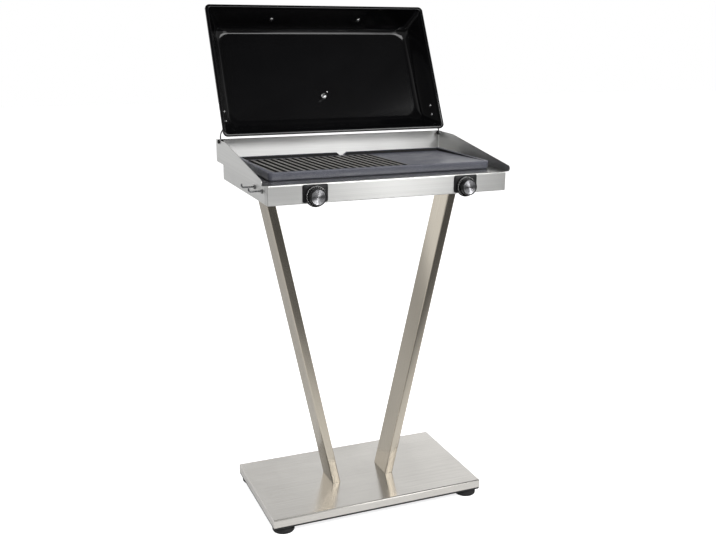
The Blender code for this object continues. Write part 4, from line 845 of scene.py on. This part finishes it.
KNOB_GLOSS = moulded("moulded_knob_gloss_black", "#0D0D0E", 0.22, 900.0, 0.00002)
BEZEL_CORNER = 0.004
BEZEL_HOLE = 0.0052
for side, _ in SIDES:
    make_knob(side)
    make_bezel(side)

# %% [markdown]
# ## Legs and feet
# Each leg is a drawn rectangular tube with soft edges, cut level at both ends, that leans
# outwards. The outline is carried from the bottom to the top and back inside as one ring.
# The feet are round rubber pads with a groove near the top.


# %% Legs and feet
LEG_WALL = 0.0015
LEG_CORNER = 0.003


def make_leg(side, sign):
    """The outer outline at both ends, then the inner one, joined as a closed tube."""
    box_low, box_high = low(f"leg_{side}"), high(f"leg_{side}")
    half = LEG_ACROSS / 2
    near, far = (box_high, box_low) if sign < 0 else (box_low, box_high)
    ends = ((near[0] + sign * half, box_low[2]), (far[0] - sign * half, box_high[2]))
    rows = []
    for wall, end in ((0.0, 0), (0.0, 1), (LEG_WALL, 1), (LEG_WALL, 0)):
        x, z = ends[end]
        near_corner = (x - half + wall, box_low[1] + wall)
        edge = outline(near_corner, (x + half - wall, box_high[1] - wall), LEG_CORNER - wall, steps=6)
        rows.append(np.column_stack([edge, np.full(len(edge), z)]))
    skin(f"leg_tube_{side}", rows, STEEL_LEG_PAINTED_DARKER, "stand", (f"leg_{side}",), ring=True, crease=20)


def make_foot(name):
    """A round pad: flat sole, bulged side, a groove under a narrow shoulder."""
    box_low, box_high = low(name), high(name)
    middle = (box_low + box_high) / 2
    radius = (box_high[0] - box_low[0]) / 2
    tall = box_high[2]
    side = [(0.0030, 0.0), (0.0012, 0.0008), (0.0002, 0.0026), (0.0, 0.0050), (0.0002, 0.0084),
            (0.0012, 0.0104), (0.0026, 0.0112), (0.0034, 0.0118), (0.0030, 0.0126), (0.0030, tall)]
    profile = [(0.0, 0.0)] + [(radius - inset, height) for inset, height in side] + [(0.0, tall)]
    place = (middle[0], middle[1], 0.0)
    skin(f"pad_{name}", lathe(profile, place, (0.0, 0.0, 1.0), 64), BLACK_RUBBER, "stand", (name,))


for side, sign in SIDES:
    make_leg(side, sign)
    for row in ("front", "rear"):
        make_foot(f"foot_{row}_{side}")

# %% [markdown]
# ## The cast grill plate
# One casting has ribs on its left part and a flat surface on the right. A low rim runs round
# it, and the surface falls to a notch in the rear rim, where grease leaves. The top is a
# height over a grid, so grooves, fall and run-outs are one formula, and rings of points
# around the grid's edge carry it over the rim, down the side and into the hollow underneath.


# %% Plate heights
PLATE_LOW = low("grill_plate")
PLATE_HIGH = high("grill_plate")
PLATE_MIDDLE = (PLATE_LOW + PLATE_HIGH) / 2
PLATE_HALF = (PLATE_HIGH - PLATE_LOW) / 2
PLATE_TOP = float(PLATE_HIGH[2])
RIM = 0.0085
FRONT_LIP = 0.0005
REAR_LIP = 0.0078
GROOVES = 18
PITCH = 0.0187
GROOVE_TOP_HALF = 0.00475
GROOVE_FLOOR_HALF = 0.00325
GROOVE_DEEP = 0.0042
GROOVE_FIRST = float(PLATE_LOW[0]) + 0.024
NOTCH_AT = MIDDLE_X - 0.004
NOTCH_TOP_HALF = 0.01425
NOTCH_FLOOR_HALF = 0.00475
NOTCH_DEEP = 0.0084
# How far past a groove's edge its painted shade reaches.
PAINTED_SHADE_MARGIN = 0.0009
GROOVE_START = 0.004
EDGE_BLEND = 0.0004
RIM_CORNER = 0.005
PLATE_CORNER = 0.010
PLATE_BEND = 0.0022
PLATE_CHAMFER = 0.003
PLATE_WALL = 0.007
PLATE_THICK = 0.0040


def from_rim(y):
    """How far a point is from the front or rear rim, whichever is nearer."""
    return np.minimum(y - PLATE_LOW[1], PLATE_HIGH[1] - y) - RIM


def groove_share(x, y, margin=0.0):
    """How deep in a groove a point is, 0 to 1, as smooth steps across the groove and at its ends."""
    number = np.clip(np.round((x - GROOVE_FIRST) / PITCH), 0, GROOVES - 1)
    aside = np.abs(x - GROOVE_FIRST - number * PITCH) - margin
    flank = GROOVE_TOP_HALF - GROOVE_FLOOR_HALF + 2 * EDGE_BLEND
    across = smooth((GROOVE_TOP_HALF + EDGE_BLEND - aside) / flank)
    return across * smooth((from_rim(y) - GROOVE_START + EDGE_BLEND) / (GROOVE_DEEP + EDGE_BLEND))


def surface_height(x, y):
    """The cooking surface: it falls evenly from the front to the rear, less the grooves."""
    share = (y - PLATE_LOW[1] - RIM) / (PLATE_HIGH[1] - PLATE_LOW[1] - 2 * RIM)
    return PLATE_TOP - FRONT_LIP - (REAR_LIP - FRONT_LIP) * share - GROOVE_DEEP * groove_share(x, y)


def notch_depth(x, y):
    """How far the rear rim is cut away at x: a V with a flat foot."""
    cut = np.clip((NOTCH_TOP_HALF - np.abs(x - NOTCH_AT)) / (NOTCH_TOP_HALF - NOTCH_FLOOR_HALF), 0.0, 1.0)
    return np.where(y > PLATE_MIDDLE[1] + PLATE_HALF[1] * 0.8, cut * NOTCH_DEEP, 0.0)


def plate_lines():
    """Where the grid's columns and rows stand: close together at edges of grooves and at corners."""
    inside = PLATE_HALF - RIM
    corner = np.array([0.0, 0.001, 0.0025, 0.004, 0.0055, 0.007, 0.0085])
    groove = np.array([-0.0068, -0.00545, -0.0051, -0.0047, -0.0042, -0.0037, -0.0031, -0.0025, 0.0])
    groove = np.unique(np.concatenate([groove, -groove]))
    middles = GROOVE_FIRST + PITCH * np.arange(GROOVES)
    notch = NOTCH_AT + np.array([-NOTCH_TOP_HALF, -NOTCH_FLOOR_HALF, NOTCH_FLOOR_HALF, NOTCH_TOP_HALF])
    left = PLATE_MIDDLE[0] - inside[0]
    right = PLATE_MIDDLE[0] + inside[0]
    flat = np.linspace(middles[-1] + 0.012, right - 0.011, 18)
    grooved = (middles[:, None] + groove).ravel()
    columns = np.concatenate([left + corner, grooved, notch, flat, right - corner])
    front = PLATE_MIDDLE[1] - inside[1]
    rear = PLATE_MIDDLE[1] + inside[1]
    ends = np.concatenate([corner, [0.0046, 0.0052, 0.0060]])
    rows = np.concatenate([front + ends, np.linspace(front + 0.012, rear - 0.012, 26), rear - ends])
    columns, rows = np.unique(columns.round(5)), np.unique(rows.round(5))
    return columns[np.append(True, np.diff(columns) > 0.0002)], rows[np.append(True, np.diff(rows) > 0.0002)]


def plate_ring(edge, half, radius):
    """The grid's boundary stretched to a rectangle of this half size, with corner points put on its arc."""
    side = (edge - PLATE_MIDDLE[:2]) / (PLATE_HALF[:2] - RIM)
    place = side * half
    core = np.sign(side) * (half - radius)
    in_corner = np.all(np.abs(place) > half - radius, axis=1)
    away = place - core
    length = np.maximum(np.linalg.norm(away, axis=1), 1e-9)[:, None]
    rounded = core + away / length * radius
    return PLATE_MIDDLE[:2] + np.where(in_corner[:, None], rounded, place)


# %% Plate mesh
# rib_share marks the rib tops that get the painted sheen.
def rib_share(x, y):
    """1 on the ribbed part's tops, level at its ends, and 0 elsewhere."""
    start = smooth((x - GROOVE_FIRST + 0.6 * PITCH) / 0.004)
    end = smooth((GROOVE_FIRST + (GROOVES - 0.4) * PITCH - x) / 0.004)
    return start * end * (1 - groove_share(x, y)) * smooth((from_rim(y) - 0.003) / 0.004)


def plate_rings(edge, lip, under_lip):
    """Rings of points over the rim, down the side and into the hollow, and the painted-shade depths of the
    rim's points.
    """
    inside = PLATE_HALF[:2] - RIM
    rings = []
    depths = []
    for outward, share in ((0.0001, 0.15), (0.0003, 0.80), (0.0006, 0.93), (0.0012, 1.0)):
        ring = plate_ring(edge[:, :2], inside + outward, RIM_CORNER + outward)
        rings.append(np.column_stack([ring, edge[:, 2] + (lip - edge[:, 2]) * share]))
        # The painted shade on the rim's inner wall fades out towards the rim's top.
        depths.append(under_lip * (1 - smooth((share - 0.7) / 0.3)))
    for angle in np.linspace(math.pi / 2, 0, 6):
        outward = PLATE_BEND * (1 - math.cos(angle))
        ring = plate_ring(edge[:, :2], PLATE_HALF[:2] - outward, PLATE_CORNER - outward)
        height = PLATE_TOP - PLATE_BEND * (1 - math.sin(angle))
        rings.append(np.column_stack([ring, np.minimum(height, lip)]))
    bottom = float(PLATE_LOW[2])
    ceiling = PLATE_TOP - REAR_LIP - GROOVE_DEEP - PLATE_THICK
    for inward, height in ((0.0, bottom + PLATE_CHAMFER), (PLATE_CHAMFER, bottom), (PLATE_WALL, bottom),
                           (PLATE_WALL, ceiling)):
        ring = plate_ring(edge[:, :2], PLATE_HALF[:2] - inward, max(PLATE_CORNER - inward, PLATE_CHAMFER))
        rings.append(np.column_stack([ring, np.full(len(edge), height)]))
    return rings, depths


def make_plate():
    """The top grid, its border carried through the rings, and the two attributes that the coat reads for its
    painted shade and sheen.
    """
    x, y = np.meshgrid(*plate_lines())
    top = np.stack([x, y, surface_height(x, y)], axis=-1).reshape(-1, 3)
    index = np.arange(x.size).reshape(x.shape)
    faces = quads(index[:-1, :-1], index[:-1, 1:], index[1:, 1:], index[1:, :-1]).tolist()
    border = np.concatenate([index[0, :-1], index[:-1, -1], index[-1, :0:-1], index[:0:-1, 0]])
    edge = top[border]
    points = top.copy()
    points[border, :2] = plate_ring(edge[:, :2], PLATE_HALF[:2] - RIM, RIM_CORNER)
    lip = PLATE_TOP - notch_depth(edge[:, 0], edge[:, 1])
    # under_lip and depth set the painted shade: along the rim's inner wall and in the grooves.
    under_lip = np.clip((lip - edge[:, 2]) / REAR_LIP, 0.0, 1.0)
    depth = groove_share(x, y, PAINTED_SHADE_MARGIN).ravel()
    depth[border] = under_lip
    rings, ring_depths = plate_rings(edge, lip, under_lip)
    around = len(border)
    loops = np.concatenate([border[None], len(points) + np.arange(len(rings) * around).reshape(-1, around)])
    turned = np.roll(loops, -1, axis=1)
    faces += quads(loops[:-1], loops[1:], turned[1:], turned[:-1]).tolist() + [loops[-1].tolist()]
    points = np.concatenate([points] + rings)
    data = bpy.data.meshes.new("cast_plate")
    data.from_pydata(points.tolist(), [], faces)
    values = {"depth": np.concatenate([depth] + ring_depths), "rib": rib_share(x, y).ravel()}
    for name, value in values.items():
        padded = np.concatenate([value, np.zeros(len(points) - len(value))])
        data.attributes.new(name, "FLOAT", "POINT").data.foreach_set("value", padded)
    add_piece("cast_plate", data, CAST_COAT, "plate", ("grill_plate",), crease=50)


make_plate()

# %% [markdown]
# ## Smooth copies of round solids
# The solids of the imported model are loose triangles, so a round one would show facets. A copy
# with its doubled points merged can be shaded smooth, and stands for its solid.


# %% Smooth copies
def smooth_copy(name, finish, body):
    """A merged, smooth-shaded copy of a CAD solid, with edges over 35 degrees kept sharp."""
    data = frame["nodes"][name].data.copy()
    merge(data, 2e-6, outwards=False)
    add_piece(f"{name}_smooth", data, finish, body, (name,), crease=35)


for side, _ in SIDES:
    smooth_copy(f"heating_element_{side}", SATIN_BLACK, "stand")
    smooth_copy(f"hinge_washer_{side}", PLATED, "stand")
    smooth_copy(f"shaft_{side}", PLATED, f"knob_unit_{side}")
    smooth_copy(f"thermostat_{side}", ZINC, "stand")
smooth_copy("cable_gland", BLACK_PLASTIC, "stand")
smooth_copy("grease_drawer", STEEL_SHEET, "drawer")

# %% [markdown]
# ## Finishes on the carried-over solids
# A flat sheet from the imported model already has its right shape. It stays and gets only a
# material, by what it is made of and how it was brushed.

# %% Dress the CAD nodes
FINISH_OF = {
    STEEL_BASE: ("base_tray",),
    STEEL_SHEET: ("control_panel",),
    STEEL_CASING_PAINTED_LIGHTER: ("casing",),
    STEEL_SIDE_PAINTED_LIGHTER: ("side_shield_left", "side_shield_right"),
    STEEL_SHIELD: ("back_shield",),
    STEEL_TRAY: ("cooking_tray",),
    BLACK_PLASTIC: ("drawer_pull", "terminal_block"),
    SATIN_BLACK: ("base_cover",),
    PLATED: ("hook_plate_front", "hook_plate_rear"),
    ZINC: ("base_stiffener", "leg_head_left", "leg_head_right", "heat_well", "drawer_runner_left",
           "drawer_runner_right", "wire_clamp_left", "wire_clamp_right"),
}

for finish, names in FINISH_OF.items():
    for name in names:
        paint(frame["nodes"][name], finish)
print("finished", sum(len(names) for names in FINISH_OF.values()), "solids")

# %% [markdown]
# ## The camera
# The photograph was taken from the left and a little above. Its angles, distance and focal
# length were worked out from straight edges of the grill, so the camera is placed by them:
# back from an aim point along the azimuth and elevation, then rolled by under half a degree.

# %% Camera
CAMERA_AZIMUTH = math.radians(-22.484)
CAMERA_ELEVATION = math.radians(15.032)
CAMERA_ROLL = math.radians(0.437)
CAMERA_DISTANCE = 2.348
CAMERA_AIM_HEIGHT = 0.6141
CAMERA_AIM_Y = float(low("control_panel")[1] + high("casing")[1]) / 2
FOCAL_PIXELS = 918.46
PICTURE_WIDTH = 716
SENSOR_WIDTH = 36.0
SHIFT_X = -0.0026
SHIFT_Y = -0.0014


def place_camera():
    """A camera at the photograph's place, angle and framing."""
    right = np.array([math.cos(CAMERA_AZIMUTH), math.sin(CAMERA_AZIMUTH), 0.0])
    level = np.array([right[1], -right[0], 0.0])
    back = level * math.cos(CAMERA_ELEVATION) + np.array([0.0, 0.0, math.sin(CAMERA_ELEVATION)])
    up = np.cross(back, right)
    rolled_right = math.cos(CAMERA_ROLL) * right + math.sin(CAMERA_ROLL) * up
    rolled_up = math.cos(CAMERA_ROLL) * up - math.sin(CAMERA_ROLL) * right
    data = bpy.data.cameras.new("photo_camera")
    data.sensor_width = SENSOR_WIDTH
    data.lens = FOCAL_PIXELS * SENSOR_WIDTH / PICTURE_WIDTH
    data.shift_x = SHIFT_X
    data.shift_y = SHIFT_Y
    made = add_object("photo_camera", data)
    place = np.array([MIDDLE_X, CAMERA_AIM_Y, CAMERA_AIM_HEIGHT]) + back * CAMERA_DISTANCE
    made.matrix_world = Matrix(np.column_stack([rolled_right, rolled_up, back, place]).tolist()
                               + [(0.0, 0.0, 0.0, 1.0)])
    bpy.context.scene.camera = made
    print("camera at", place.round(3))


place_camera()

# %% [markdown]
# ## Studio
# The grill stands on white paper in a studio whose far front and ceiling are dim. Four large
# soft lamps and a pale world light it evenly, so that a colour renders about as written. The
# white of the background comes from what the camera sees of the floor and the world, not from
# more light on the grill. Brushed steel looks like what it reflects, so the room's dim front
# and two of the softboxes give each sheet much of its tone, and the rest is painted light and
# shade in each sheet's base colour. The other two only light.


# %% Studio
AIM = (MIDDLE_X, -0.05, 0.85)
SOFT_STEP = {"interpolation_type": "SMOOTHSTEP"}
PLAIN = {"data_type": "FLOAT"}
WHITE = (1.0, 1.0, 1.0, 1.0)


def area_lamp(name, place, wide, tall, power, in_metal=True):
    """A rectangular soft lamp that points at the grill. in_metal says whether gloss shows the lamp itself."""
    data = bpy.data.lights.new(name, "AREA")
    data.shape = "RECTANGLE"
    data.energy = power
    data.size = wide
    data.size_y = tall
    made = add_object(name, data)
    away = Vector(place) - Vector(AIM)
    made.matrix_world = Matrix.Translation(place) @ away.to_track_quat("Z", "Y").to_matrix().to_4x4()
    made.visible_camera = False
    made.visible_glossy = in_metal


def seen_directly(tree, rays):
    """1 for rays from the camera or through glass."""
    return node(tree, "Math", "MAXIMUM", s0=rays.outputs["Is Camera Ray"],
                s1=rays.outputs["Is Transmission Ray"])


def studio_floor():
    """White paper, dimmer from 0.15 to 1.7 m in front for all but the camera, for which it also glows."""
    data = bpy.data.meshes.new("studio_floor")
    reach = 12.0
    corners = [(-reach, -reach, 0), (reach, -reach, 0), (reach, reach, 0), (-reach, reach, 0)]
    data.from_pydata(corners, [], [(0, 1, 2, 3)])
    made = add_object("studio_floor", data)
    paper, tree, shader, place = material("white_paper_floor", Roughness=0.9, Specular_IOR_Level=0.1)
    front = node(tree, "SeparateXYZ", Vector=place).outputs["Y"]
    near = node(tree, "MapRange", SOFT_STEP, Value=front, From_Min=-1.7, From_Max=-0.15, To_Min=0.10,
                To_Max=0.78)
    seen = seen_directly(tree, node(tree, "LightPath"))
    tone = node(tree, "Mix", PLAIN, s0=seen, s2=near, s3=0.86)
    glow = node(tree, "Math", "MULTIPLY", s0=seen, s1=0.80)
    plug(tree, shader, Base_Color=tone, Emission_Color=WHITE, Emission_Strength=glow)
    paint(made, paper)


def studio_world():
    """White for the camera, even as a light, and in metal bright behind but dim in front and above."""
    world = bpy.data.worlds.new("studio")
    world.use_nodes = True
    bpy.context.scene.world = world
    tree = world.node_tree
    rays = node(tree, "LightPath")
    split = node(tree, "SeparateXYZ", Vector=node(tree, "TexCoord").outputs["Generated"])
    metal_sees = 1.0
    for axis, start, end, low_end, high_end in (("Y", -0.5, 0.3, 0.48, 1.0), ("X", 0.25, 0.55, 1.0, 1.3),
                                                ("Z", 0.35, 0.80, 1.0, 0.06)):
        step = node(tree, "MapRange", SOFT_STEP, Value=split.outputs[axis], From_Min=start, From_Max=end,
                    To_Min=low_end, To_Max=high_end)
        metal_sees = node(tree, "Math", "MULTIPLY", s0=metal_sees, s1=step)
    room = node(tree, "Mix", PLAIN, s0=rays.outputs["Is Glossy Ray"], s2=0.50, s3=metal_sees)
    strength = node(tree, "Mix", PLAIN, s0=seen_directly(tree, rays), s2=room, s3=1.0)
    plug(tree, tree.nodes["Background"], Color=WHITE, Strength=strength)


studio_floor()
studio_world()
area_lamp("tall_softbox", (1.06, -2.50, 1.60), 0.62, 1.9, 8.8)
area_lamp("front_softbox", (0.60, -2.30, 2.75), 2.4, 0.8, 50)
area_lamp("key_softbox", (-1.7, -1.9, 2.6), 1.4, 1.4, 18, in_metal=False)
area_lamp("top_softbox", (0.2, -0.9, 3.0), 2.2, 1.6, 26, in_metal=False)
bpy.context.scene.view_settings.view_transform = "Standard"
